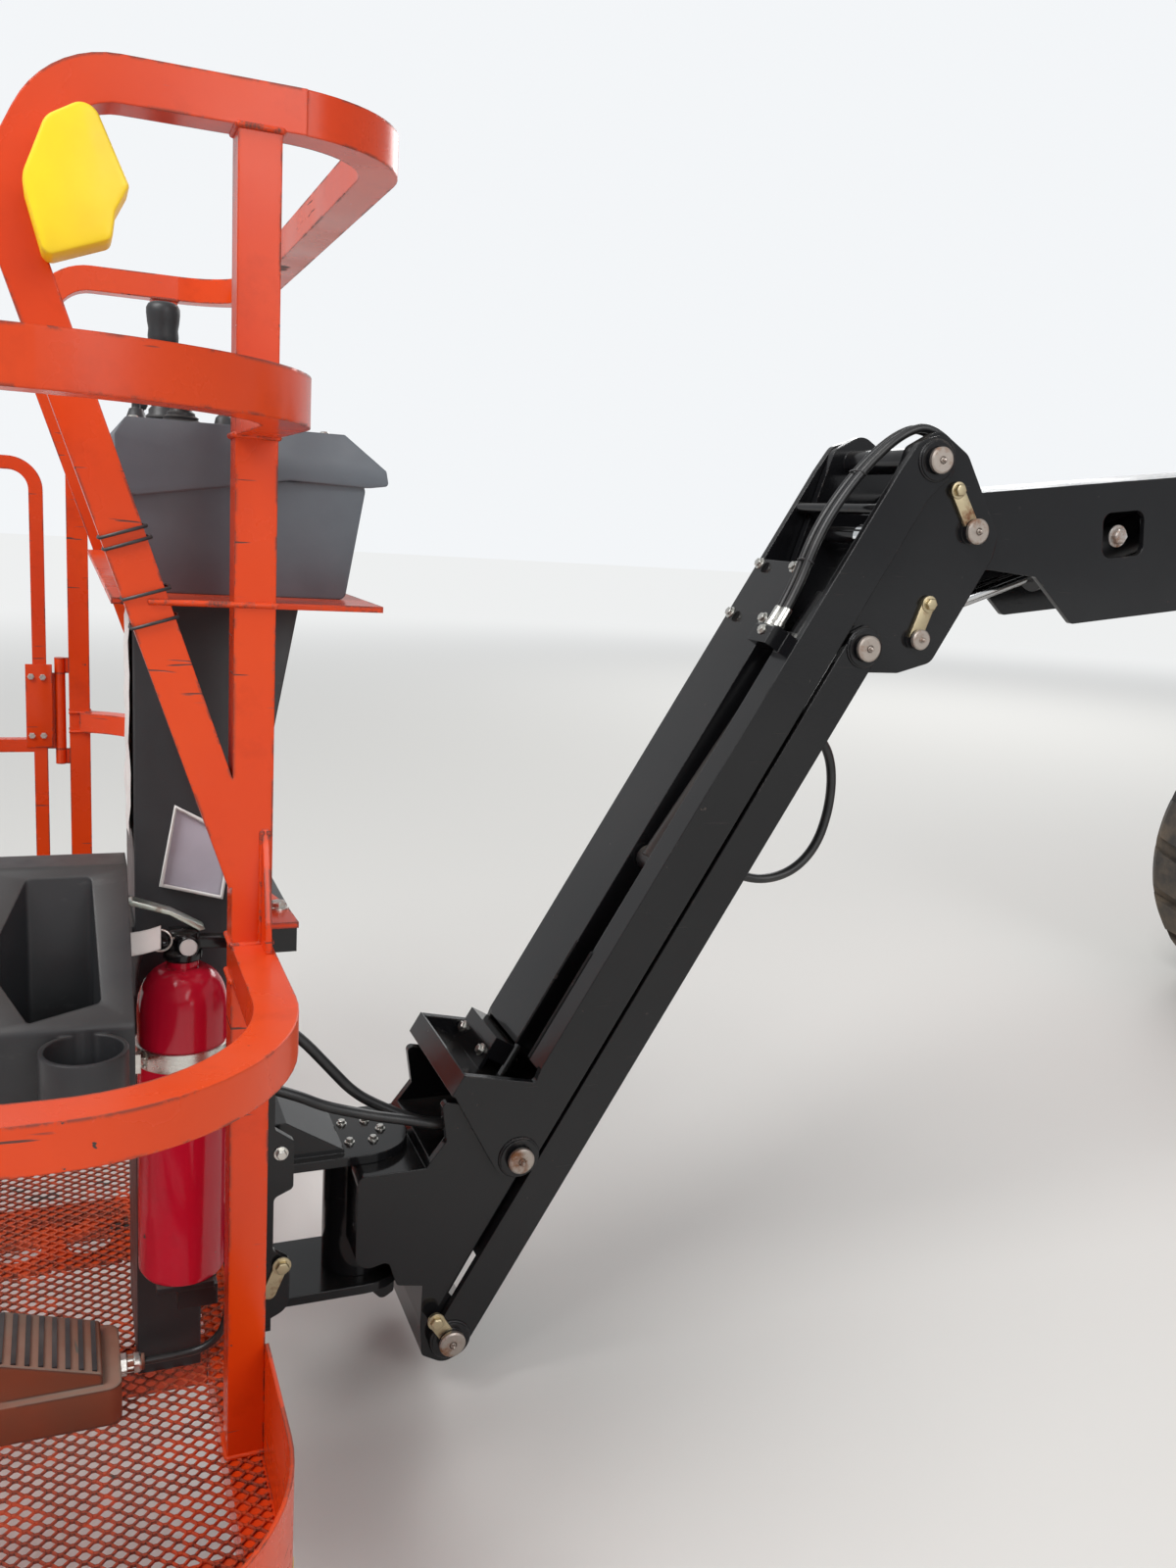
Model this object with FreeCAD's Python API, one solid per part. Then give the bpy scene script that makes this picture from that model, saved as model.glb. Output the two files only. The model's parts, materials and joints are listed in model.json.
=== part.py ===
import FreeCAD, Part
import math
import os

# Articulating boom lift, stowed, standing on its four wheels.
# Millimetres. Origin on the ground under the slewing axis, +Z up, the platform towards -X,
# +X towards the machine's tail, +Y to the left of someone who looks from the tail to the platform.

V = FreeCAD.Vector
X_AXIS = V(1, 0, 0)
Y_AXIS = V(0, 1, 0)
Z_AXIS = V(0, 0, 1)
OUT = "parts"

# Running clearances
FIT = 0.3           # radial or end clearance at a pin, and the gap of a seated running face
SIDE = 2.5          # side clearance between a lug and the plates of its clevis
OPEN_PIN = 1.0      # radial clearance at the pivot where a linkage is opened

# Wheels and axles
TYRE_R = 420.0
TYRE_W = 310.0
TREAD_DEPTH = 22.0
LUGS_PER_SIDE = 16
RIM_R = 225.0
AXLE_X = 990.0
TRACK_OUT = 2340.0
WHEEL_Y = (TRACK_OUT - TYRE_W) / 2
KINGPIN_Y = WHEEL_Y - 215
KINGPIN_R = 18.0
DIFF_R = 150.0
STEER_ARM = 170.0   # from the kingpin to the track rod's pin
HUB_FACE = 20.0     # outboard offset of the rim's disc from the wheel's middle
BALL_R = 9.0        # the track rod's pins
ARM_TOP = 375.0     # top face of the steering arms

# Chassis
CHASSIS_LEN = 2660.0
CHASSIS_W = 760.0
CHASSIS_MID_W = 1120.0
CHASSIS_MID_LEN = 960.0
CHASSIS_Z0 = 480.0
CHASSIS_Z1 = 760.0
EYE_R = 20.0        # tie-down eyes, far enough out for a pin to pass the wheels
EYE_PLATE = 20.0
EYE_OUT = 75.0

# Turntable
DECK_Z0 = 850.0
DECK_Z1 = 890.0
TAIL_R = 1180.0
WEIGHT_DEPTH = 440.0
WEIGHT_TOP = 1400.0
DECK_FRONT = 1090.0
DECK_W = 2080.0
RING_R_OUT = 430.0
RING_R_IN = 310.0

# Lower linkage: tower boom, its parallel link and the upright that they keep level
TOWER_BASE = V(-700, 0, 1280)
TOWER_LEN = 1600.0
TOWER_H = 250.0
TOWER_W = 296.0
LINK_OFFSET = V(150, 0, -249)
LINK_H = 80.0
TOWER_RISE = 68.0              # degrees from rest to full height
LINK_BAR = (100.0, 125.0)      # inner and outer |y| of each link bar
PLATE_IN = 155.0               # inner face of the turntable's and the upright's side plates
PLATE_T = 20.0

# Main boom
BOOM_PIVOT = V(980, 0, 1910)
NOSE_PIVOT = V(-3267, 0, 1350)
BASE_LEN = 3450.0
BASE_TOP = 93.0                # above the line from the pivot to the nose
BASE_BOTTOM = -207.0
BASE_W = 250.0
BASE_WALL = 8.0
FLY_TOP = 58.0
FLY_BOTTOM = -172.0
FLY_W = 184.0
FLY_WALL = 10.0
FLY_REAR = 3450.0              # length of the fly behind the nose pivot
NOSE_TIP = 50.0
BOOM_RISE = 80.0

# Jib parallelogram
JIB_LOW = V(-3980, 0, 377)     # platform end, upper pin
JIB_HIGH = V(-3362, 0, 1452)   # boom end, upper pin
JIB_OFFSET = V(-95, 0, -290)   # from each upper pin to the lower pin
JIB_W = 253.0
JIB_PLATE = 12.0
BEAM_UP = 45.0
BEAM_DOWN = 24.0
LINK_HALF = 30.0
KNUCKLE_OUT = 112.0            # outer |y| of the knuckle plates, inside the jib's side plates
KNUCKLE_T = 14.0
POCKET_Z = 380.0               # floor of the lower knuckle's pocket
TRAY = (42.0, 78.0, -150.0)    # hose tray's lip: its two edges along the jib, and how far it stands off
PIN_R = 20.0
PIN_END = 15.0                 # how far a pin stands out of its plate
JIB_RISE = 135.0

# Hydraulic cylinders: barrel radii, and the room between a barrel's flank and its clevis
TOWER_CYL_R = 50.0
LIFT_CYL_R = 55.0
LEVEL_CYL_R = 33.0
JIB_CYL_R = 24.0
EYE_PROUD = 0.5     # how far an eye stands out past its barrel's flank on each side

# Covers
HOOD_X0 = -1040.0
HOOD_X1 = TAIL_R - WEIGHT_DEPTH - 40
HOOD_IN = 300.0
HOOD_OUT = 1020.0
HOOD_TOP = 1430.0
HOOD_SKIN = 12.0
HOOD_AXIS = 4.0     # the hinge's axis lies this far in and up from the cover's inner top edge
HOOD_PIN_R = 6.0
HOOD_BARREL_R = 11.0
HOOD_BARREL = 80.0  # length of a cover's barrel, between two of half that length on the turntable
PANEL_X0 = 400.0    # the ground controls' cabinet takes the end of the right cover's room

# Platform
ROTATOR_X = -4200.0
HOUSING_Z0 = 170.0             # the rotator's housing, between the support's two arms
HOUSING_Z1 = 370.0
FORK_X = -4345.0
FORK_T = 14.7
FLOOR_Z = 320.0
TUBE = 38.0
RAIL_X_IN = -4440.0            # boom side
RAIL_X_OUT = -5164.0
RAIL_Y = 896.0
TOP_RAIL_Z = 1400.0
MID_RAIL_Z = 877.0
GUARD_Z = 1660.0
GUARD_Y = 550.0
GUARD_X_FRONT = -4310.0
CORNER_R = 180.0
GATE_X_IN = -4612.0
GATE_X_OUT = -5040.0
GATE_POST_X = -4577.0
HINGE_R = 10.0
HINGE_Z0 = 822.0
HINGE_Z1 = 972.0
SHEET_T = 3.0                  # expanded metal
BASE_H = 50.0
TOE_H = 130.0
TOE_T = 4.0
SHELF_Z = 1222.0
SHELF_T = 6.0
CONSOLE_TOP = 1395.0
TRAY_X0 = -4680.0
TRAY_X1 = -4552.0
TRAY_TOP = 965.0
CUP_AT = (-4596.0, -672.0)
CUP_R = 33.0
COLUMN_X = -4540.0             # face of the console's column away from the boom
COLUMN_Y = -400.0              # its side towards the extinguisher


# Drawing helpers

def vec(plane, u, v, w):
    """Point with in-plane coordinates u, v, at height w on the plane's third axis."""
    if plane == "xz":
        return V(u, w, v)
    if plane == "yz":
        return V(w, u, v)
    return V(u, v, w)


def outline(plane, points, radius, w):
    """Closed wire through (u, v) points, its corners rounded by radius, a number or one per point."""
    n = len(points)
    radii = radius if isinstance(radius, (list, tuple)) else [radius] * n
    edges = []
    starts = []
    ends = []
    mids = []
    for i in range(n):
        p = V(points[i][0], points[i][1], 0)
        a = V(points[i - 1][0], points[i - 1][1], 0)
        b = V(points[(i + 1) % n][0], points[(i + 1) % n][1], 0)
        da = (a - p).normalize()
        db = (b - p).normalize()
        angle = da.getAngle(db)
        r = radii[i]
        if r <= 0 or abs(math.pi - angle) < 1e-4:
            starts.append(p)
            ends.append(p)
            mids.append(None)
            continue
        back = r / math.tan(angle / 2)
        centre = p + (da + db).normalize() * (r / math.sin(angle / 2))
        starts.append(p + da * back)
        ends.append(p + db * back)
        mids.append(centre + (p - centre).normalize() * r)
    put = lambda q: vec(plane, q.x, q.y, w)
    for i in range(n):
        if mids[i] is not None:
            edges.append(Part.Arc(put(starts[i]), put(mids[i]), put(ends[i])).toShape())
        a = ends[i]
        b = starts[(i + 1) % n]
        if (b - a).Length > 1e-6:
            edges.append(Part.LineSegment(put(a), put(b)).toShape())
    return Part.Wire(edges)


def slab(plane, points, w0, w1, radius=0.0):
    """Plate: the rounded outline on a plane, from w0 to w1 on its third axis."""
    low, high = min(w0, w1), max(w0, w1)
    face = Part.Face(outline(plane, points, radius, low))
    return face.extrude(vec(plane, 0, 0, high - low))


def box(x0, x1, y0, y1, z0, z1):
    """Box between two corners, given in any order."""
    low = V(min(x0, x1), min(y0, y1), min(z0, z1))
    return Part.makeBox(abs(x1 - x0), abs(y1 - y0), abs(z1 - z0), low)


def rod(start, end, radius):
    """Round bar between two points."""
    return Part.makeCylinder(radius, (end - start).Length, start, end - start)


def cross(centre, radius, y0, y1):
    """Round bar along Y through a centre."""
    return Part.makeCylinder(radius, abs(y1 - y0), V(centre.x, min(y0, y1), centre.z), Y_AXIS)


def fuse(shapes):
    """One solid from pieces that are welded together."""
    whole = shapes[0]
    if len(shapes) > 1:
        whole = whole.fuse(shapes[1:])
    return whole.removeSplitter()


def both_sides(shape):
    """A piece and its mirror image across the machine's middle plane."""
    return [shape, shape.mirror(V(0, 0, 0), Y_AXIS)]


def band(plane, path, radius, width, w0, w1):
    """Flat bar that follows a path of (u, v) points with its bends rounded to radius."""
    def side(offset):
        pts = []
        n = len(path)
        for i in range(n):
            p = V(path[i][0], path[i][1], 0)
            dirs = []
            if i > 0:
                dirs.append((p - V(path[i - 1][0], path[i - 1][1], 0)).normalize())
            if i < n - 1:
                dirs.append((V(path[i + 1][0], path[i + 1][1], 0) - p).normalize())
            normals = [V(-d.y, d.x, 0) for d in dirs]
            mean = normals[0] if len(normals) == 1 else (normals[0] + normals[1]).normalize()
            q = p + mean * (offset / mean.dot(normals[0]))
            r = 0.0
            if len(dirs) == 2:
                turn = dirs[0].cross(dirs[1]).z
                r = radius - offset if turn > 0 else radius + offset
            pts.append((q.x, q.y, max(r, 0.0)))
        return pts
    left = side(width / 2)
    right = side(-width / 2)
    ring = left + right[::-1]
    return slab(plane, [(p[0], p[1]) for p in ring], w0, w1, [p[2] for p in ring])


def ring_rail(z0, z1, outward, inward, radius):
    """Closed loop round the platform between two offsets from the rails' centreline."""
    def loop(offset):
        x0, x1, y1 = RAIL_X_OUT - offset, RAIL_X_IN + offset, RAIL_Y + offset
        return slab("xy", [(x0, -y1), (x1, -y1), (x1, y1), (x0, y1)], z0, z1, radius + offset)
    return loop(outward).cut(loop(inward))


def turned(point, about, degrees):
    """Side-view point turned about another, counter-clockwise with X to the right and Z up."""
    a = math.radians(degrees)
    x, z = point.x - about.x, point.z - about.z
    return V(about.x + x * math.cos(a) - z * math.sin(a), 0, about.z + x * math.sin(a) + z * math.cos(a))


def clevis(barrel_r):
    """Inner half width of the clevis that holds a cylinder's eye."""
    return barrel_r + EYE_PROUD + SIDE


def cord(name, route, diameter):
    """Tube along straight runs joined by tangent arcs, each as large as its two runs allow."""
    edges = []
    radii = []
    last = route[0]
    for before, p, after in zip(route, route[1:], route[2:]):
        back = 0.45 * min((before - p).Length, (after - p).Length)
        da, db = (before - p).normalize(), (after - p).normalize()
        turn = math.pi - da.getAngle(db)
        r = back / math.tan(turn / 2)
        start, end = p + da * back, p + db * back
        centre = p + (da + db).normalize() * (r / math.cos(turn / 2))
        middle = centre + (p - centre).normalize() * r
        edges.append(Part.LineSegment(last, start).toShape())
        edges.append(Part.Arc(start, middle, end).toShape())
        radii.append(round(r))
        last = end
    edges.append(Part.LineSegment(last, route[-1]).toShape())
    spine = Part.Wire(edges)
    section = Part.Wire(Part.makeCircle(diameter / 2, route[0], route[1] - route[0]))
    tube = spine.makePipeShell([section], True, False)
    want = math.pi * diameter ** 2 / 4 * spine.Length
    print(name, "length", round(spine.Length), "radii", radii, "volume against section x length", round(tube.Volume / want, 4))
    return tube


# Directions of the two long members, seen from the side

def unit(a, b):
    return (b - a).normalize()


BOOM_DIR = unit(BOOM_PIVOT, NOSE_PIVOT)
BOOM_UP = V(BOOM_DIR.z, 0, -BOOM_DIR.x)
BOOM_SPAN = (NOSE_PIVOT - BOOM_PIVOT).Length
JIB_DIR = unit(JIB_LOW, JIB_HIGH)
JIB_DOWN = V(JIB_DIR.z, 0, -JIB_DIR.x)
JIB_SPAN = (JIB_HIGH - JIB_LOW).Length
LINK_LOW = JIB_LOW + JIB_OFFSET
LINK_HIGH = JIB_HIGH + JIB_OFFSET


def on_boom(along, up):
    """Side-view point on the main boom: along from its pivot, up from the line to the nose."""
    p = BOOM_PIVOT + BOOM_DIR * along + BOOM_UP * up
    return (p.x, p.z)


def on_fly(back, up):
    """Side-view point on the fly boom: back from the nose pivot."""
    return on_boom(BOOM_SPAN - back, up)


def on_jib(along, down):
    """Side-view point on the jib's upper member: along from its platform end."""
    p = JIB_LOW + JIB_DIR * along + JIB_DOWN * down
    return (p.x, p.z)


def on_link(along, down):
    """Side-view point on the jib's lower member."""
    p = LINK_LOW + JIB_DIR * along + JIB_DOWN * down
    return (p.x, p.z)


def at3(pair):
    return V(pair[0], 0, pair[1])


# Running gear

def tyre(x, side):
    half = TYRE_W / 2
    tread = TYRE_R
    # columns: radius, distance from the wheel's middle plane
    profile = [(RIM_R, -110), (RIM_R, 110), (240, 128), (300, 150), (355, half), (400, 146), (tread, 118),
               (tread, -118), (400, -146), (355, -half), (300, -150), (240, -128)]
    face = Part.Face(Part.makePolygon([V(r, y, 0) for r, y in profile + profile[:1]]))
    body = face.revolve(V(0, 0, 0), Y_AXIS, 360)
    pitch = 360.0 / LUGS_PER_SIDE
    gaps = []
    for row in (-1, 1):
        for i in range(LUGS_PER_SIDE):
            groove = Part.makeBox(44, 150, 60, V(-22, 0, TYRE_R - TREAD_DEPTH))
            groove.translate(V(0, 14, 0))
            groove.rotate(V(0, 0, 0), Z_AXIS, -14)
            if row < 0:
                groove = groove.mirror(V(0, 0, 0), Y_AXIS)
            groove.rotate(V(0, 0, 0), Y_AXIS, pitch * (i + (0.5 if row < 0 else 0)))
            gaps.append(groove)
    body = body.cut(Part.makeCompound(gaps))
    body.translate(V(x, side * WHEEL_Y, TYRE_R))
    return body


def rim(x, side):
    lip = RIM_R
    # columns: radius, outboard distance
    profile = [(0, HUB_FACE), (180, HUB_FACE), (205, -20), (205, -108), (lip, -110), (lip, 110),
               (205, 108), (205, 30), (186, 36), (110, 36), (100, 70), (60, 78), (60, 92), (0, 92)]
    face = Part.Face(Part.makePolygon([V(r, y * side, 0) for r, y in profile + profile[:1]]))
    body = face.revolve(V(0, 0, 0), Y_AXIS, 360)
    body.translate(V(x, side * WHEEL_Y, TYRE_R))
    return body


def hub_face_y(side):
    return side * (WHEEL_Y + HUB_FACE - FIT)


def steering_knuckle(side):
    x, y = -AXLE_X, KINGPIN_Y
    barrel = Part.makeCylinder(45, 183.4, V(x, y, 328.3))
    spindle = cross(V(x, 0, TYRE_R), 62, y, WHEEL_Y - 40)
    flange = cross(V(x, 0, TYRE_R), 120, WHEEL_Y - 60, hub_face_y(1))
    arm = slab("xy", [(x + 20, y - 18), (x + STEER_ARM + 22, y - 18), (x + STEER_ARM + 22, y + 18), (x + 20, y + 18)],
               ARM_TOP - 25, ARM_TOP, [0, 17, 17, 0])
    solid = fuse([barrel, spindle, flange, arm])
    solid = solid.cut(Part.makeCylinder(KINGPIN_R + FIT, 260, V(x, y, 290)))
    clearance = FIT if side > 0 else OPEN_PIN
    solid = solid.cut(Part.makeCylinder(BALL_R + clearance, 60, V(x + STEER_ARM, y, ARM_TOP - 40)))
    return solid if side > 0 else solid.mirror(V(0, 0, 0), Y_AXIS)


def track_rod():
    x = -AXLE_X + STEER_ARM
    top = ARM_TOP + FIT
    pieces = [rod(V(x, -KINGPIN_Y, top + 17), V(x, KINGPIN_Y, top + 17), 13)]
    for side in (-1, 1):
        pieces.append(Part.makeCylinder(20, 34, V(x, side * KINGPIN_Y, top)))
        pieces.append(Part.makeCylinder(BALL_R, 60, V(x, side * KINGPIN_Y, top - 36)))
    return fuse(pieces)


def front_axle():
    x, king = -AXLE_X, KINGPIN_Y
    beam = box(x - 65, x + 65, 110 - king, king - 110, 350, CHASSIS_Z0)
    pieces = [beam, box(x - 120, x + 120, -150, 150, 430, CHASSIS_Z0)]
    for side in (-1, 1):
        web = box(x - 35, x + 35, side * (king - 120), side * (king - 62), 300, 540)
        pieces.append(web)
        for z0 in (300, 512):
            root, wide, tip = side * (king - 100), side * (king - 10), side * (king + 50)
            ear = slab("xy", [(x - 35, root), (x + 35, root), (x + 50, wide), (x + 50, tip), (x - 50, tip),
                              (x - 50, wide)], z0, z0 + 28, [0, 0, 0, 48, 48, 0])
            pieces.append(ear)
        pieces.append(Part.makeCylinder(KINGPIN_R, 256, V(x, side * king, 292)))
    return fuse(pieces)


def diff_housing(radius):
    return Part.makeCylinder(radius, 190 + 2 * (radius - DIFF_R), V(AXLE_X - 60 - (radius - DIFF_R), 40, TYRE_R), X_AXIS)


def rear_axle():
    x = AXLE_X
    end = WHEEL_Y - 255
    pieces = [box(x - 65, x + 65, -end, end, 355, CHASSIS_Z0), box(x - 120, x + 120, -150, 150, 400, CHASSIS_Z0)]
    pieces.append(diff_housing(DIFF_R))
    for side in (-1, 1):
        pieces.append(cross(V(x, 0, TYRE_R), 95, side * (end - 20), side * (end + 140)))
        pieces.append(cross(V(x, 0, TYRE_R), 120, side * (end + 120), hub_face_y(side)))
    return fuse(pieces)


# Chassis

TIE_DOWNS = [(sx * (CHASSIS_LEN / 2 + EYE_OUT), sy * 300.0) for sx in (-1, 1) for sy in (-1, 1)]


def chassis_frame():
    half, mid = CHASSIS_LEN / 2, CHASSIS_MID_LEN / 2
    side_view = [(-half, CHASSIS_Z0 + 60), (-half + 120, CHASSIS_Z0), (half - 120, CHASSIS_Z0),
                 (half, CHASSIS_Z0 + 60), (half, CHASSIS_Z1 - 60), (half - 200, CHASSIS_Z1),
                 (-half + 200, CHASSIS_Z1), (-half, CHASSIS_Z1 - 60)]
    spine = slab("xz", side_view, -CHASSIS_W / 2, CHASSIS_W / 2)
    plan = [(-mid - 150, -CHASSIS_W / 2 + 20), (-mid, -CHASSIS_MID_W / 2), (mid, -CHASSIS_MID_W / 2),
            (mid + 150, -CHASSIS_W / 2 + 20), (mid + 150, CHASSIS_W / 2 - 20), (mid, CHASSIS_MID_W / 2),
            (-mid, CHASSIS_MID_W / 2), (-mid - 150, CHASSIS_W / 2 - 20)]
    middle = slab("xy", plan, CHASSIS_Z0 + 30, CHASSIS_Z1 - 20)
    pieces = [spine, middle]
    for x, y in TIE_DOWNS:
        s = 1 if x > 0 else -1
        inner = s * (half - 30)
        lug = slab("xz", [(inner, 570), (x + s * 35, 570), (x + s * 35, 650), (inner, 690)],
                   y - EYE_PLATE / 2, y + EYE_PLATE / 2, [0, 30, 30, 0])
        pieces.append(lug)
    solid = fuse(pieces)
    for x, y in TIE_DOWNS:
        solid = solid.cut(cross(V(x, 0, 610), EYE_R, y - EYE_PLATE, y + EYE_PLATE))
    # the rear axle's housing reaches up into the frame
    return solid.cut(diff_housing(DIFF_R + 10))


def slew_ring():
    low = Part.makeCylinder(RING_R_OUT, DECK_Z0 - CHASSIS_Z1 - FIT, V(0, 0, CHASSIS_Z1))
    return low.cut(Part.makeCylinder(RING_R_IN, DECK_Z0 - CHASSIS_Z1, V(0, 0, CHASSIS_Z1)))


# Turntable

TOWER_TOP = TOWER_BASE + V(TOWER_LEN, 0, 0)
LINK_BASE = TOWER_BASE + LINK_OFFSET
LINK_TOP = TOWER_TOP + LINK_OFFSET
TOWER_CYL_BASE = V(660, 0, 965)
TOWER_CYL_EYE = V(-300, 0, 1050)
LIFT_CYL_BASE = V(825, 0, 1480)
LIFT_CYL_EYE = at3(on_boom(1160, BASE_BOTTOM - 43))
LEVEL_CYL_BASE = at3(on_fly(620, 0))
LEVEL_CYL_EYE = V(-3352, 0, 1177)
JIB_CYL_BASE = at3(on_jib(JIB_SPAN - 750, -16))
JIB_CYL_EYE = at3(on_jib(JIB_SPAN - 128.7, 18))
JIB_CYL_Y = -46.5


def deck_plan(inset):
    half = DECK_W / 2 - inset
    rect = slab("xy", [(-DECK_FRONT + inset, -half), (TAIL_R, -half), (TAIL_R, half), (-DECK_FRONT + inset, half)],
                0, 3000, [140, 0, 0, 140])
    return rect.common(Part.makeCylinder(TAIL_R - inset, 3000).fuse(box(-2000, 0, -half, half, 0, 3000)))


def turntable_base():
    plate = deck_plan(0).common(box(-3000, 3000, -3000, 3000, DECK_Z0, DECK_Z1))
    pieces = [plate]
    side = slab("xz", [(-840, DECK_Z1 - 5), (-840, 1130), (-770, 1340), (-650, 1350), (-420, 1110), (-330, DECK_Z1 - 5)],
                PLATE_IN, PLATE_IN + PLATE_T, [0, 40, 40, 60, 60, 0])
    pieces += both_sides(side)
    reach = PLATE_IN + PLATE_T + 12
    pieces.append(cross(TOWER_BASE, 28, -reach, reach))
    pieces.append(cross(LINK_BASE, 20, -reach, reach))
    pieces += both_sides(cross(LINK_BASE, 38, LINK_BAR[1] + SIDE, PLATE_IN + 1))
    inner = clevis(TOWER_CYL_R)
    lug = slab("xz", [(600, DECK_Z1 - 5), (610, 985), (660, 1010), (710, 985), (720, DECK_Z1 - 5)],
               inner, inner + 16, [0, 30, 30, 30, 0])
    pieces += both_sides(lug)
    pieces.append(cross(TOWER_CYL_BASE, PIN_R, -inner - 22, inner + 22))
    # bulkheads that the covers are hinged on, with the outer barrels and the pin of each hinge
    y0, y1 = HOOD_IN - FIT - 8, HOOD_IN - FIT
    top = HOOD_TOP + HOOD_AXIS - HOOD_BARREL_R - 1
    pieces += both_sides(box(HOOD_X0 + 10, HOOD_X1 - 10, y0, y1, DECK_Z1 - 5, top))
    for side in (-1, 1):
        for x in hood_hinges(side):
            reach = HOOD_BARREL / 2 + FIT
            pieces.append(hinge_bar(x - reach - 1, x + reach + 1, side, HOOD_PIN_R))
            for x0 in (x - HOOD_BARREL - FIT, x + reach):
                x1 = x0 + HOOD_BARREL / 2
                pieces.append(hinge_bar(x0, x1, side, HOOD_BARREL_R))
                pieces.append(box(x0, x1, side * y0, side * y1, top - 1, HOOD_TOP + HOOD_AXIS))
    return fuse(pieces)


def counterweight():
    front = TAIL_R - WEIGHT_DEPTH
    ring = deck_plan(2).common(box(front, 2 * TAIL_R, -DECK_W, DECK_W, DECK_Z1, WEIGHT_TOP))
    beside = PLATE_IN + PLATE_T + 15
    notch = box(front - 40, 2 * TAIL_R, -beside, beside, DECK_Z1 + 60, WEIGHT_TOP + 100)
    return ring.cut(notch)


def hood_end(side):
    return HOOD_X1 if side > 0 else PANEL_X0 - 15


def hood_hinges(side):
    """X of the middle of each of a cover's two hinges."""
    length = hood_end(side) - HOOD_X0
    return [HOOD_X0 + 0.2 * length, HOOD_X0 + 0.8 * length]


def hinge_bar(x0, x1, side, radius):
    """Round bar on a cover's hinge axis."""
    return Part.makeCylinder(radius, x1 - x0, V(x0, side * (HOOD_IN - HOOD_AXIS), HOOD_TOP + HOOD_AXIS), X_AXIS)


def hood(side):
    x1 = hood_end(side)
    z0 = DECK_Z1 + FIT
    def form(t, below):
        # the inner form runs out past the bottom and past the inner edge, which are open
        y_in = HOOD_IN - below
        return slab("yz", [(side * y_in, z0 - below), (side * (HOOD_OUT - t), z0 - below),
                           (side * (HOOD_OUT - t), HOOD_TOP - 160), (side * (HOOD_OUT - 200 - t * 0.4), HOOD_TOP - t),
                           (side * y_in, HOOD_TOP - t)], HOOD_X0 + t, x1 - t, [0, 0, 90, 90, 0])
    pieces = [form(0, 0).cut(form(HOOD_SKIN, 50))]
    half = HOOD_BARREL / 2
    for x in hood_hinges(side):
        pieces.append(hinge_bar(x - half, x + half, side, HOOD_BARREL_R))
    shell = fuse(pieces)
    for x in hood_hinges(side):
        shell = shell.cut(hinge_bar(x - half - 1, x + half + 1, side, HOOD_PIN_R + FIT))
        for x0 in (x - 2 * half - 2 * FIT, x + half):
            shell = shell.cut(hinge_bar(x0, x0 + half + 2 * FIT, side, HOOD_BARREL_R + FIT))
    return shell


def engine_block():
    z = DECK_Z1
    return slab("yz", [(360, z), (860, z), (860, 1150), (780, 1240), (440, 1240), (360, 1150)], -520, 240)


def fuel_tank():
    z = DECK_Z1
    return slab("yz", [(-360, z), (-900, z), (-900, 1200), (-360, 1200)], -700, 300, 40)


def ground_panel():
    z = DECK_Z1
    face = [(-HOOD_IN, z), (-HOOD_OUT + 10, z), (-HOOD_OUT + 10, 1060), (-HOOD_OUT + 90, 1320),
            (-HOOD_OUT + 190, 1390), (-HOOD_IN, 1390)]
    cabinet = slab("yz", face, PANEL_X0, HOOD_X1, [0, 10, 20, 30, 30, 0])
    return cabinet


# Lower linkage

def tower_boom():
    h = TOWER_H / 2
    a, b = TOWER_BASE, TOWER_TOP
    profile = [(a.x - h, a.z - h), (b.x + h, b.z - h), (b.x + h, b.z + h), (a.x - h, a.z + h)]
    body = slab("xz", profile, -TOWER_W / 2, TOWER_W / 2, h - 1)
    eye = TOWER_CYL_EYE
    inner = clevis(TOWER_CYL_R)
    lug = slab("xz", [(eye.x - 70, a.z - h + 5), (eye.x - 38, eye.z - 38), (eye.x + 38, eye.z - 38),
                      (eye.x + 70, a.z - h + 5)], inner, inner + 14, [0, 34, 34, 0])
    pieces = [body] + both_sides(lug) + both_sides(cross(eye, PIN_R, inner + 13, inner + 24))
    solid = fuse(pieces)
    for pin in (a, b):
        solid = solid.cut(cross(pin, 28 + FIT, -400, 400))
    return solid


def tower_link():
    h = LINK_H / 2
    a, b = LINK_BASE, LINK_TOP
    profile = [(a.x - h, a.z - h), (b.x + h, b.z - h), (b.x + h, b.z + h), (a.x - h, a.z + h)]
    bar = slab("xz", profile, LINK_BAR[0], LINK_BAR[1], h - 1)
    tie = box(a.x + 1310, a.x + 1350, -LINK_BAR[0] - 1, LINK_BAR[0] + 1, a.z - 30, a.z - 15)
    pieces = both_sides(bar) + [tie]
    solid = fuse(pieces)
    for pin in (a, b):
        solid = solid.cut(cross(pin, 20 + FIT, -400, 400))
    return solid


def upright():
    points = [(985, 975), (1155, 975), (1155, 1990), (900, 1990), (765, 1560), (765, 1400), (812, 1225)]
    side = slab("xz", points, PLATE_IN, PLATE_IN + PLATE_T, [40, 0, 0, 60, 80, 60, 40])
    pieces = both_sides(side)
    pieces.append(box(1140, 1155, -PLATE_IN - 1, PLATE_IN + 1, 1150, 1990))
    reach = PLATE_IN + PLATE_T + 12
    pieces.append(cross(TOWER_TOP, 28, -reach, reach))
    pieces.append(cross(LINK_TOP, 20, -reach, reach))
    pieces.append(cross(BOOM_PIVOT, 30, -reach, reach))
    pieces.append(cross(LIFT_CYL_BASE, 24, -reach, reach))
    pieces += both_sides(cross(LINK_TOP, 38, LINK_BAR[1] + SIDE, PLATE_IN + 1))
    pieces += both_sides(cross(LIFT_CYL_BASE, 40, clevis(LIFT_CYL_R), PLATE_IN + 1))
    return fuse(pieces)


# Main boom and fly

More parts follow.
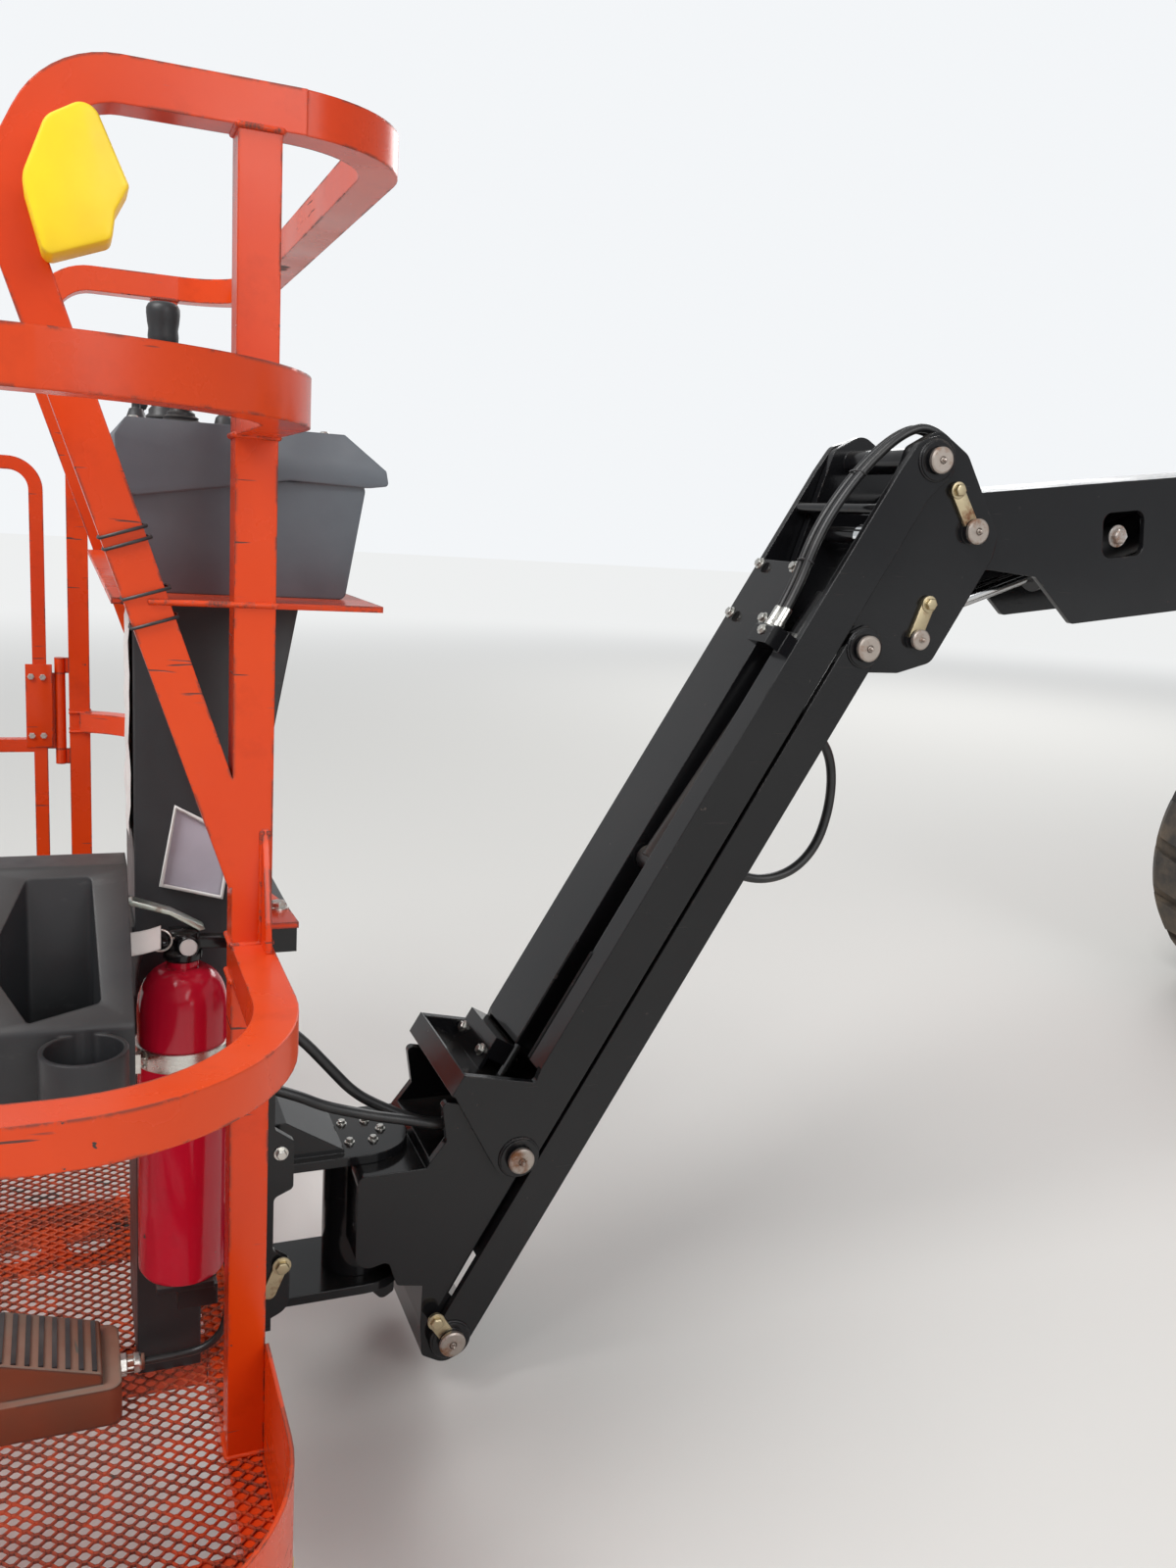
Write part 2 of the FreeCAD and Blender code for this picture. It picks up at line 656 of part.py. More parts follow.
def main_boom():
    rear = [(-110, 55), (-110, -60), (-20, BASE_BOTTOM)]
    front = [(BASE_LEN, BASE_BOTTOM), (BASE_LEN, BASE_TOP), (-70, BASE_TOP)]
    body = slab("xz", [on_boom(a, u) for a, u in rear + front], -BASE_W / 2, BASE_W / 2)
    hollow = [(260, BASE_BOTTOM + BASE_WALL), (BASE_LEN + 10, BASE_BOTTOM + BASE_WALL),
              (BASE_LEN + 10, BASE_TOP - BASE_WALL), (260, BASE_TOP - BASE_WALL)]
    inner = BASE_W / 2 - BASE_WALL
    body = body.cut(slab("xz", [on_boom(a, u) for a, u in hollow], -inner, inner))
    eye = LIFT_CYL_EYE
    lug_pts = [on_boom(1080, BASE_BOTTOM + 5), on_boom(1122, BASE_BOTTOM - 82), on_boom(1198, BASE_BOTTOM - 82),
               on_boom(1240, BASE_BOTTOM + 5)]
    lug_in = clevis(LIFT_CYL_R)
    lug = slab("xz", lug_pts, lug_in, lug_in + 16, [0, 34, 34, 0])
    collar_pts = [(BASE_LEN - 120, BASE_BOTTOM - 8), (BASE_LEN, BASE_BOTTOM - 8), (BASE_LEN, BASE_TOP + 8),
                  (BASE_LEN - 120, BASE_TOP + 8)]
    collar = slab("xz", [on_boom(a, u) for a, u in collar_pts], -BASE_W / 2 - 8, BASE_W / 2 + 8)
    collar = collar.cut(slab("xz", [on_boom(a, u) for a, u in hollow], -inner, inner))
    pieces = [body, collar] + both_sides(lug) + both_sides(cross(eye, 24, lug_in + 15, lug_in + 28))
    pieces += both_sides(cross(BOOM_PIVOT, 80, BASE_W / 2 - 1, PLATE_IN - FIT))
    # wear pads at the mouth, FIT away from the fly
    a0, a1 = BASE_LEN - 110, BASE_LEN - 10
    for u0, u1 in ((BASE_BOTTOM + BASE_WALL - 0.5, FLY_BOTTOM - FIT), (FLY_TOP + FIT, BASE_TOP - BASE_WALL + 0.5)):
        pts = [on_boom(a0, u0), on_boom(a1, u0), on_boom(a1, u1), on_boom(a0, u1)]
        pieces += both_sides(slab("xz", pts, 30, 80))
    pts = [on_boom(a0, -120), on_boom(a1, -120), on_boom(a1, 10), on_boom(a0, 10)]
    pieces += both_sides(slab("xz", pts, FLY_W / 2 + FIT, inner + 0.5))
    solid = fuse(pieces)
    return solid.cut(cross(BOOM_PIVOT, 30 + FIT, -400, 400))


def fly_boom():
    # columns: distance back from the nose pivot, height
    profile = [(-NOSE_TIP, FLY_TOP), (-NOSE_TIP, -55), (35, -63), (146, -86), (224, FLY_BOTTOM),
               (FLY_REAR, FLY_BOTTOM), (FLY_REAR, FLY_TOP)]
    half = FLY_W / 2
    inner = half - FLY_WALL
    body = slab("xz", [on_fly(b, u) for b, u in profile], -half, half, [40, 40, 30, 10, 10, 0, 0])
    tube = [(70, FLY_BOTTOM + FLY_WALL), (FLY_REAR + 10, FLY_BOTTOM + FLY_WALL),
            (FLY_REAR + 10, FLY_TOP - FLY_WALL), (70, FLY_TOP - FLY_WALL)]
    body = body.cut(slab("xz", [on_fly(b, u) for b, u in tube], -inner, inner))
    trough = [(70, FLY_BOTTOM - 10), (820, FLY_BOTTOM - 10), (820, 0), (70, 0)]
    body = body.cut(slab("xz", [on_fly(b, u) for b, u in trough], -inner, inner))
    window = [(285, -68), (375, -68), (375, 8), (285, 8)]
    body = body.cut(slab("xz", [on_fly(b, u) for b, u in window], -half - 5, half + 5, 18))
    pieces = [body, cross(LEVEL_CYL_BASE, 16, -half, half)]
    # wear pads at the tail, FIT away from the base boom
    b0, b1 = FLY_REAR - 110, FLY_REAR - 10
    wall = BASE_W / 2 - BASE_WALL
    for u0, u1 in ((BASE_BOTTOM + BASE_WALL + FIT, FLY_BOTTOM + 0.5), (FLY_TOP - 0.5, BASE_TOP - BASE_WALL - FIT)):
        pts = [on_fly(b0, u0), on_fly(b1, u0), on_fly(b1, u1), on_fly(b0, u1)]
        pieces += both_sides(slab("xz", pts, 30, 80))
    pts = [on_fly(b0, -120), on_fly(b1, -120), on_fly(b1, 10), on_fly(b0, 10)]
    pieces += both_sides(slab("xz", pts, half - 0.5, wall - FIT))
    solid = fuse(pieces)
    return solid.cut(cross(NOSE_PIVOT, PIN_R + FIT, -400, 400))


# Jib

def jib_knuckle():
    kite = [(-3402, 1470), (-3350, 1500), (-3292, 1466), (-3215, 1345), (-3222, 1308), (-3318, 1140),
            (-3380, 1122), (-3470, 1122), (-3497, 1165)]
    plate = slab("xz", kite, KNUCKLE_OUT - KNUCKLE_T, KNUCKLE_OUT, [20, 30, 30, 25, 25, 25, 20, 20, 25])
    pieces = both_sides(plate)
    long_pin = JIB_W / 2 + PIN_END
    short_pin = KNUCKLE_OUT + PIN_END
    pieces.append(cross(JIB_HIGH, PIN_R, -long_pin, long_pin))
    pieces.append(cross(LINK_HIGH, PIN_R, -long_pin, long_pin))
    pieces.append(cross(NOSE_PIVOT, PIN_R, -short_pin, short_pin))
    # the two cylinders' pins, open where the rods' eyes sit
    pieces += both_sides(cross(LEVEL_CYL_EYE, 16, clevis(LEVEL_CYL_R), short_pin))
    for end in (-KNUCKLE_OUT, KNUCKLE_OUT):
        near = JIB_CYL_Y + math.copysign(clevis(JIB_CYL_R), end)
        pieces.append(cross(JIB_CYL_EYE, 14, near, end))
    return fuse(pieces)


def side_plate(points, radius):
    outer = JIB_W / 2
    return slab("xz", points, outer - JIB_PLATE, outer, radius)


def jib_beam():
    outer = JIB_W / 2
    inner = outer - JIB_PLATE
    top, low = -BEAM_UP, BEAM_DOWN
    L = JIB_SPAN
    # columns: along the jib, down from the line of pins
    lip0, lip1, off = TRAY
    plate = [(-36, -16), (lip0, off + 6), (lip1, off + 2), (113, top + 4), (135, top), (L - 45, top), (L + 5, -42),
             (L + 40, -12), (L + 36, 18), (L + 5, 40), (L - 55, low), (-10, low + 2), (-34, 8)]
    pieces = both_sides(side_plate([on_jib(a, d) for a, d in plate], [20, 4, 4, 6, 6, 6, 25, 25, 25, 25, 10, 12, 12]))
    box_pts = [(130, top), (900, top), (900, low), (130, low)]
    pieces.append(slab("xz", [on_jib(a, d) for a, d in box_pts], -17, inner + 0.5))
    pieces.append(slab("xz", [on_jib(a, d) for a, d in box_pts], -inner - 0.5, -76))
    lid = [(899, top), (1020, top), (1020, top + 6), (899, top + 6)]
    pieces.append(slab("xz", [on_jib(a, d) for a, d in lid], -17, inner + 0.5))
    # columns: along, down at two opposite corners of each plate of the hose tray, and its two faces in y
    tray = [(lip0, off, lip1, off + 6, -outer, outer), (62, off + 1, 68, -30, -inner - 0.5, inner + 0.5),
            (62, -80, 125, -74, -17, inner + 0.5), (90, -75, 125, top + 1, -17, inner + 0.5)]
    for a0, d0, a1, d1, y0, y1 in tray:
        pieces.append(slab("xz", [on_jib(a, d) for a, d in ((a0, d0), (a1, d0), (a1, d1), (a0, d1))], y0, y1))
    # bosses round the two pins, and the block that the two hoses come out of
    for a in (0, L):
        pieces += both_sides(cross(at3(on_jib(a, 0)), 30, outer - 1, outer + 5))
    block = [(864, -74), (892, -74), (898, -68), (898, top + 0.5), (864, top + 0.5)]
    pieces.append(slab("xz", [on_jib(a, d) for a, d in block], -90, -36))
    floor = [(130, low - 8), (330, low - 8), (330, low), (130, low)]
    pieces.append(slab("xz", [on_jib(a, d) for a, d in floor], -77, -16))
    pieces.append(cross(at3(on_jib(L - 112, -35)), 9, -inner - 0.5, inner + 0.5))
    pieces.append(cross(JIB_CYL_BASE, 12, -77, -16))
    solid = fuse(pieces)
    for pin in (JIB_HIGH, JIB_LOW):
        solid = solid.cut(cross(pin, PIN_R + FIT, -400, 400))
    return solid


def jib_link():
    outer = JIB_W / 2
    inner = outer - JIB_PLATE
    L = JIB_SPAN
    h = LINK_HALF
    plate = [(-34, -12), (-8, -h), (L + 8, -h), (L + 34, -12), (L + 34, 12), (L + 8, h), (-8, h), (-34, 12)]
    pieces = both_sides(side_plate([on_link(a, d) for a, d in plate], 12))
    body = [(130, -h), (L - 130, -h), (L - 130, h), (130, h)]
    pieces.append(slab("xz", [on_link(a, d) for a, d in body], -inner - 0.5, inner + 0.5))
    for a in (LOOP_ROUTE[0][0], LOOP_ROUTE[-1][0]):
        pieces.append(rod(at3(on_link(a, h - 1)), at3(on_link(a, LOOP_ROUTE[0][1])), HOSE_D / 2 + 3))
    for a in (0, L):
        pieces += both_sides(cross(at3(on_link(a, 0)), 29, outer - 1, outer + 5))
    long_pin = outer + PIN_END
    pieces.append(cross(LINK_LOW, PIN_R, -long_pin, long_pin))
    solid = fuse(pieces)
    return solid.cut(cross(LINK_HIGH, PIN_R + FIT, -400, 400))


def platform_knuckle():
    """Casting between the rotator and the jib's two pins, open at the top where the hoses go in."""
    # columns: x, z from the rotator round the tray to the jib's pins and back
    top = [(-4222, 215), (-4222, HOUSING_Z1), (-4120, HOUSING_Z1), (-4090, 410), (-4100, 474), (-4062, 466),
           on_jib(30, -40), on_jib(30, BEAM_DOWN)]
    low = [on_link(120, -LINK_HALF - 7), on_link(60, -LINK_HALF - 6), on_link(30, 30), on_link(-20, 42), on_link(-46, 20),
           on_link(-46, -20), (-4119, 112), (-4118, 176), (-4158, 184), (-4172, 226)]
    radii = [22, 14, 0, 0, 8, 12, 0, 0, 0, 0, 0, 20, 25, 10, 20, 0, 8, 10]
    outer = KNUCKLE_OUT
    web = slab("xz", top + low, -outer, outer, radii)
    inner = outer - KNUCKLE_T
    web = web.cut(box(-4118, -4020, -inner, inner, POCKET_Z, 520))
    housing = Part.makeCylinder(50, HOUSING_Z1 - HOUSING_Z0, V(ROTATOR_X, 0, HOUSING_Z0))
    long_pin = JIB_W / 2 + PIN_END
    # the two hoses' fittings on the pocket's back wall
    for end in (LOW_HOSE_A[-1], LOW_HOSE_B[-1]):
        web = web.fuse(Part.makeCylinder(HOSE_D / 2 + 3, 31, end, X_AXIS))
    pieces = [web, housing, cross(JIB_LOW, PIN_R, -long_pin, long_pin)]
    solid = fuse(pieces)
    return solid.cut(cross(LINK_LOW, PIN_R + OPEN_PIN, -400, 400))


# Platform

def platform_support():
    """Bracket between the guard's posts and the rotator: cross tubes, two side plates and a fork."""
    back = RAIL_X_IN + TUBE / 2
    pieces = [box(back, back + 28, -GUARD_Y - 3, GUARD_Y + 3, 880, 910)]
    pieces.append(box(back, back + 45, -170, 170, 262, 322))
    pieces.append(box(back, back + 28, -119, 119, 455, 640))
    pieces.append(box(back, FORK_X, -119, 119, 150, 460))
    # columns: x, z of a side plate, radius of its corner
    plate = [(back, 900, 0), (FORK_X - 20, 900, 10), (FORK_X - 20, 720, 20), (FORK_X, 690, 25), (FORK_X, 470, 10),
             (FORK_X + 27, 450, 6), (FORK_X + 27, 378, 8), (FORK_X, 366, 10), (FORK_X, 284, 12), (FORK_X + 24, 266, 10),
             (FORK_X + 24, 190, 26), (FORK_X - 30, 164, 26), (back, 180, 0)]
    for side in (-1, 1):
        pieces.append(slab("xz", [(x, z) for x, z, r in plate], side * 118, side * 130, [r for x, z, r in plate]))
    # a stop under the lower arm, the fork's two arms, and the upper one's sloping cover
    stop = [(-4186, 156), (-4186, 146), (-4165, 124), (-4147, 136), (-4147, 156)]
    pieces.append(slab("xz", stop, -52, -40, [0, 8, 10, 6, 0]))
    for z0 in (HOUSING_Z1 + FIT, HOUSING_Z0 - FIT - FORK_T):
        arm = slab("xy", [(FORK_X - 5, -76), (ROTATOR_X + 76, -76), (ROTATOR_X + 76, 76), (FORK_X - 5, 76)],
                   z0, z0 + FORK_T, [0, 75, 75, 0])
        pieces.append(arm)
    top = HOUSING_Z1 + FIT + FORK_T
    cover = [(FORK_X - 5, top - 1), (FORK_X - 5, 444), (FORK_X + 27, 444), (ROTATOR_X - 32, top + 5), (ROTATOR_X - 32, top - 1)]
    pieces.append(slab("xz", cover, -62, 62))
    return fuse(pieces)


OUTER_POSTS = [-690.0, 0.0, 690.0]
GATE_POSTS = [GATE_POST_X, GATE_X_OUT]
RAIL_POSTS = [(RAIL_X_OUT, y) for y in OUTER_POSTS] + [(x, RAIL_Y) for x in GATE_POSTS] + [(-4962.0, -RAIL_Y)]


def platform_frame():
    half = TUBE / 2
    rails = []
    post_face = GUARD_Y + half
    for z in (TOP_RAIL_Z, MID_RAIL_Z):
        ring = ring_rail(z - half, z + half, half, -half, CORNER_R)
        gap = box(GATE_X_OUT, GATE_POST_X, RAIL_Y - 60, RAIL_Y + 60, z - 50, z + 50)
        # the rails end on the guard frame's two posts, with the console between them
        between = box(RAIL_X_IN - 60, RAIL_X_IN + 60, -post_face, post_face, z - 50, z + 50)
        rails.append(ring.cut(gap).cut(between))
    base = ring_rail(FLOOR_Z - SHEET_T - BASE_H, FLOOR_Z - SHEET_T, half, -half, CORNER_R)
    pieces = rails + [base]
    for x, y in RAIL_POSTS:
        pieces.append(box(x - half, x + half, y - half, y + half, FLOOR_Z - 30, TOP_RAIL_Z))
    # hinge leaves and knuckles above and below the gate's own
    for z0 in (HINGE_Z0 - FIT - 30, HINGE_Z1 + FIT):
        pieces.append(Part.makeCylinder(HINGE_R, 30, V(GATE_X_IN, RAIL_Y, z0)))
        pieces.append(box(GATE_X_IN, GATE_POST_X - half + 1, RAIL_Y - 4, RAIL_Y + 4, z0, z0 + 30))
    return fuse(pieces)


def platform_floor():
    """Sheet that reaches the base ring's outer face, on five cross-members, with the posts passing through it."""
    half = TUBE / 2
    sheet = ring_rail(FLOOR_Z - SHEET_T, FLOOR_Z, half, -half, CORNER_R)
    x0, x1 = RAIL_X_OUT + half, RAIL_X_IN - half
    y1 = RAIL_Y - half
    inner = slab("xy", [(x0, -y1), (x1, -y1), (x1, y1), (x0, y1)], FLOOR_Z - SHEET_T - BASE_H, FLOOR_Z, CORNER_R - half)
    pieces = [sheet, inner.common(box(x0, x1, -y1, y1, FLOOR_Z - SHEET_T, FLOOR_Z))]
    for i in range(5):
        y = -720 + 360 * i
        pieces.append(inner.common(box(x0, x1, y - 20, y + 20, FLOOR_Z - 45, FLOOR_Z - SHEET_T / 2)))
    floor = fuse(pieces)
    for x, y in RAIL_POSTS:
        floor = floor.cut(box(x - half, x + half, y - half, y + half, FLOOR_Z - 20, FLOOR_Z + 20))
    return floor


def toe_board():
    """Plate on the base ring's and the posts' outer faces, open at the gate and between the guard's posts."""
    face = TUBE / 2
    low, high = FLOOR_Z - 30, FLOOR_Z + TOE_H
    ring = ring_rail(low, high, face + TOE_T, face, CORNER_R)
    gate_gap = box(GATE_X_OUT - face, GATE_POST_X + face, RAIL_Y - 60, RAIL_Y + 60, low - 10, high + 10)
    console_gap = box(RAIL_X_IN - 60, RAIL_X_IN + 60, -GUARD_Y - face, GUARD_Y + face, low - 10, high + 10)
    return ring.cut(gate_gap).cut(console_gap)


def guard_frame():
    half = TUBE / 2
    pieces = []
    x = RAIL_X_IN
    for s in (-1, 1):
        y = s * GUARD_Y
        pieces.append(box(x - half, x + half, y - half, y + half, FLOOR_Z, GUARD_Z))
        # the brace leaves the post, leans in over the platform and bends over to the front bar
        path = [(x - 4, FLOOR_Z + 640), (-4650, 1560), (-4600, GUARD_Z), (-4400, GUARD_Z)]
        brace = band("xz", path, 75, TUBE, y - half, y + half)
        pieces.append(brace.cut(box(x - half + 1, x + 200, y - 50, y + 50, FLOOR_Z, 1200)))
        # a gusset stands on the mid rail against the post, and a plate lies over the support's tube
        rail, face, edge = MID_RAIL_Z + half, GUARD_Y + half, x + half
        gusset = [(s * (face - 1), rail), (s * (face + 34), rail), (s * (face + 30), rail + 30),
                  (s * (face + 8), rail + 100), (s * (face - 1), rail + 118)]
        pieces.append(slab("yz", gusset, x + 9, x + 15, [0, 0, 15, 40, 0]))
        cover = [(edge - 1, s * face), (edge + 27, s * face), (edge + 24, s * 505), (edge - 1, s * 390)]
        pieces.append(slab("xy", cover, 910, 916))
    path = [(-4430, -GUARD_Y), (GUARD_X_FRONT, -GUARD_Y), (GUARD_X_FRONT, GUARD_Y), (-4430, GUARD_Y)]
    pieces.append(band("xy", path, 110, TUBE, GUARD_Z - half, GUARD_Z + half))
    reach = GUARD_Y - half + 1
    pieces.append(box(COLUMN_X - 25, -4310, -reach, reach, SHELF_Z, SHELF_Z + SHELF_T))
    return fuse(pieces)


def console_box():
    z = SHELF_Z + SHELF_T
    # columns: x, z of the end view
    base = [(-4529, z), (-4332, z), (-4312, 1348), (-4545, 1340)]
    lid = [(-4556, 1324), (-4538, 1322), (-4391, 1346), (-4310, 1344), (-4291, 1347), (-4294, 1362), (-4338, CONSOLE_TOP),
           (-4548, CONSOLE_TOP), (-4558, 1378)]
    pieces = [slab("xz", base, -450, 300, 8), slab("xz", lid, -460, 310, 4)]
    return fuse(pieces)


def console_column():
    points = [(COLUMN_X, FLOOR_Z), (COLUMN_X + 70, FLOOR_Z), (COLUMN_X + 70, FLOOR_Z + TOE_H),
              (COLUMN_X + 115, 920), (COLUMN_X + 170, SHELF_Z), (COLUMN_X, SHELF_Z)]
    column = slab("xz", points, COLUMN_Y, COLUMN_Y + 170)
    end = FOOT_CABLE[-1]
    return fuse([column, box(end.x - 7, end.x + 6, end.y - 7, COLUMN_Y + 1, 760, 785)])


def control_levers():
    """Joystick with its flared base, wing knob on a cone, two switches, and a lever with a tall grip."""
    z = CONSOLE_TOP
    # columns: x, y, base radius, top radius, height, of the part's stacked rounds
    joystick = [(-4490, -371, 24, 24, 4), (-4490, -371, 21, 12, 10), (-4490, -371, 9, 9, 6), (-4490, -371, 13, 17, 9)]
    knob = [(-4530, -300, 15, 15, 3), (-4530, -300, 12, 7, 14), (-4530, -300, 5, 5, 14)]
    bump = [(-4447, -371, 13, 13, 4), (-4447, -371, 10, 6, 10)]
    switch = [(-4520, -200, 13, 13, 3), (-4520, -200, 8, 5, 16), (-4520, -200, 4, 4, 14)]
    grip = [(-4488, -100, 34, 34, 4), (-4488, -100, 30, 9, 40), (-4488, -100, 7, 7, 60), (-4488, -100, 17, 20, 52)]
    parts = []
    for stack in (joystick, knob, bump, switch, grip):
        rounds = []
        h = z
        for x, y, r0, r1, height in stack:
            if r0 == r1:
                rounds.append(Part.makeCylinder(r0, height, V(x, y, h)))
            else:
                rounds.append(Part.makeCone(r0, r1, height, V(x, y, h)))
            h += height
        if stack is knob:
            rounds.append(box(-4548, -4512, -304, -296, h - 1, h + 11))
        if stack is switch:
            rounds.append(Part.makeSphere(8, V(-4520, -200, h + 5)))
        parts.append(fuse(rounds))
    return Part.makeCompound(parts)


def tool_tray():
    """Moulded tray on the console's column: a ledge, a deep pocket in its sloping face and a cup holder."""
    profile = [(-455, 740), (-455, TRAY_TOP), (-505, TRAY_TOP), (-640, 850), (-640, 740)]
    body = slab("yz", profile, TRAY_X0, TRAY_X1, [8, 6, 10, 12, 15])
    pocket = [(-4643, -515), (-4585, -515), (-4580, -620), (-4642, -632), (-4665, -600), (-4665, -560)]
    x, y = CUP_AT
    cup = Part.makeCylinder(CUP_R + 4.5, 85, V(x, y, 760))
    arm = box(TRAY_X1 - 3, COLUMN_X - 3, -475, COLUMN_Y + 5, 815, 865)
    foot = box(TRAY_X1 - 3, COLUMN_X, COLUMN_Y + 2, COLUMN_Y + 120, 815, 865)
    tray = fuse([body, cup, arm, foot])
    tray = tray.cut(slab("xy", pocket, 775, TRAY_TOP + 10, 5))
    return tray.cut(Part.makeCylinder(CUP_R, 85, V(x, y, 766)))


EXT_X = -4495.0
EXT_Y = -455.0
EXT_R = 46.5
EXT_Z = 487.0
STRAP_Z = 735.0


def extinguisher():
    r = EXT_R
    corners = [V(0, 0, EXT_Z), V(r - 6, 0, EXT_Z), V(r, 0, EXT_Z + 8), V(r, 0, 790)]
    neck = [V(16, 0, 838), V(16, 0, 856), V(0, 0, 856)]
    edges = [Part.LineSegment(a, b).toShape() for a, b in zip(corners, corners[1:])]
    edges.append(Part.Arc(corners[-1], V(37, 0, 821), neck[0]).toShape())
    edges += [Part.LineSegment(a, b).toShape() for a, b in zip(neck, neck[1:] + corners[:1])]
    body = Part.Face(Part.Wire(edges)).revolve(V(0, 0, 0), Z_AXIS, 360)
    body.translate(V(EXT_X, EXT_Y, 0))
    y0, y1 = EXT_Y - 9, EXT_Y + 9
    valve = box(EXT_X - 15, EXT_X + 19, y0 - 2, y1 + 2, 850, 878)
    handle = box(EXT_X + 8, EXT_X + 65, y0, y1, 859, 870)
    lever = slab("xz", [(EXT_X - 50, 914), (EXT_X + 14, 884), (EXT_X + 12, 874), (EXT_X - 6, 874), (EXT_X - 55, 905)],
                 y0, y1, 0)
    gauge = cross(V(EXT_X, 0, 863), 11, y0 - 12, y0)
    return fuse([body, valve, handle, lever, gauge])


def extinguisher_bracket():
    strap = Part.makeCylinder(EXT_R + 2.5, 26, V(EXT_X, EXT_Y, STRAP_Z))
    strap = strap.cut(Part.makeCylinder(EXT_R + FIT, 26, V(EXT_X, EXT_Y, STRAP_Z)))
    back = box(EXT_X - 20, EXT_X + 20, EXT_Y + EXT_R + FIT, COLUMN_Y, 460, 780)
    foot = box(EXT_X - 30, EXT_X + 30, EXT_Y - 40, COLUMN_Y, EXT_Z - FIT - 8, EXT_Z - FIT)
    boot = box(EXT_X - 8, EXT_X + 34, EXT_Y - 36, EXT_Y + 20, 455, EXT_Z - FIT - 7)
    return fuse([strap, back, foot, boot])


def foot_switch():
    x0, x1, y0, y1 = -4700.0, -4560.0, -480.0, -360.0
    body = slab("xy", [(x0, y0), (x1, y0), (x1, y1), (x0, y1)], FLOOR_Z, FLOOR_Z + 45, 15)
    treadle = slab("xz", [(x0 + 10, 364), (x1 - 20, 364), (x1 - 20, 378), (x0 + 10, 412)], y0 + 10, y1 - 10, [0, 0, 5, 8])
    gland = Part.makeCylinder(9, 28, V(x1 - 2, y0 + 60, FLOOR_Z + 30), X_AXIS)
    return fuse([body, treadle, gland])


def corner_pad():
    # columns: x, z, radius
    points = [(-4613, 1611, 18), (-4579, 1631, 14), (-4550, 1567, 6), (-4561, 1546, 5), (-4564, 1524, 8),
              (-4616, 1504, 8), (-4632, 1562, 30)]
    return slab("xz", [p[:2] for p in points], -GUARD_Y - 70, -GUARD_Y - TUBE / 2 - FIT, [p[2] for p in points])


def gate():
    r = 12.5
    y = RAIL_Y
    z0, z1 = FLOOR_Z + 40, TOP_RAIL_Z - 20
    xa, xb = GATE_X_IN - 24, GATE_X_OUT + 42
    loop = slab("xz", [(xa, z0), (xa, z1), (xb, z1), (xb, z0)], y - r, y + r, 60)
    hole = slab("xz", [(xa - 2 * r, z0 + 2 * r), (xa - 2 * r, z1 - 2 * r), (xb + 2 * r, z1 - 2 * r),
                       (xb + 2 * r, z0 + 2 * r)], y - r - 5, y + r + 5, 60 - 2 * r)
    mid = box(xb + 5, xa - 5, y - r, y + r, MID_RAIL_Z - 60, MID_RAIL_Z - 60 + 2 * r)
    hinge = Part.makeCylinder(HINGE_R, HINGE_Z1 - HINGE_Z0, V(GATE_X_IN, y, HINGE_Z0))
    leaf = box(xa - 8, GATE_X_IN, y - 4, y + 4, HINGE_Z0, HINGE_Z1)
    kick = box(xb + 5, xa - 5, y - 2, y + 2, z0 + 5, z0 + 120)
    return fuse([loop.cut(hole), mid, hinge, leaf, kick])


# Cords, as routes of points that scene.py repeats

CABLE_D = 9.0
HOSE_D = 16.0
THIN_HOSE_D = 14.0
FOOT_CABLE = [V(-4534, -420, 350), V(-4496, -420, 350), V(-4466, -424, 356),
              V(-4447, -428, 378), V(-4442, -430, 412), V(-4441, -428, 466), V(-4443, -426, 532),
              V(-4446, -423, 610), V(-4443, -424, 695), V(-4443, -424, 759.9)]
LOW_HOSE_A = [V(-4376, -45, 618), V(-4338, -46, 601), V(-4297, -50, 568), V(-4257, -52, 521), V(-4219, -50, 475),
              V(-4177, -48, 447), V(-4134, -50, 424), V(-4090, -50, 408), V(-4050, -50, 408)]
LOW_HOSE_B = [V(-4360, -80, 516), V(-4307, -81, 495), V(-4272, -80, 475), V(-4236, -78, 461), V(-4190, -79, 447),
              V(-4140, -80, 435), V(-4095, -78, 420), V(-4050, -78, 420)]
# columns: along the jib, down, y
JIB_HOSE_ROUTE = [(898, -60, -50), (960, -60, -50), (1051, -79, -50), (1130, -77, -49), (1200, -66, -52),
                  (1258, -48, -58), (1294, -18, -64), (1291, 24, -66)]
JIB_HOSE_NEAR = [V(on_jib(a, d)[0], y - 22, on_jib(a, d)[1]) for a, d, y in JIB_HOSE_ROUTE]
JIB_HOSE_FAR = [V(on_jib(a, d + 2)[0], y, on_jib(a, d + 2)[1]) for a, d, y in JIB_HOSE_ROUTE]
LOOP_ROUTE = [(1110, 55, 0), (1110, 100, 0), (1082, 150, 4), (1020, 188, 2), (945, 203, -3), (880, 178, -5), (838, 115, 0),
              (838, 55, 0)]
LOOP_HOSE = [V(on_link(a, d)[0], y, on_link(a, d)[1]) for a, d, y in LOOP_ROUTE]
CORDS = [("foot_cable", FOOT_CABLE, CABLE_D), ("low_hose_a", LOW_HOSE_A, HOSE_D), ("low_hose_b", LOW_HOSE_B, HOSE_D),
         ("jib_hose_near", JIB_HOSE_NEAR, THIN_HOSE_D), ("jib_hose_far", JIB_HOSE_FAR, THIN_HOSE_D),
         ("loop_hose", LOOP_HOSE, HOSE_D)]


# Hydraulic cylinders, each a barrel at its base pin and a rod that ends in an eye

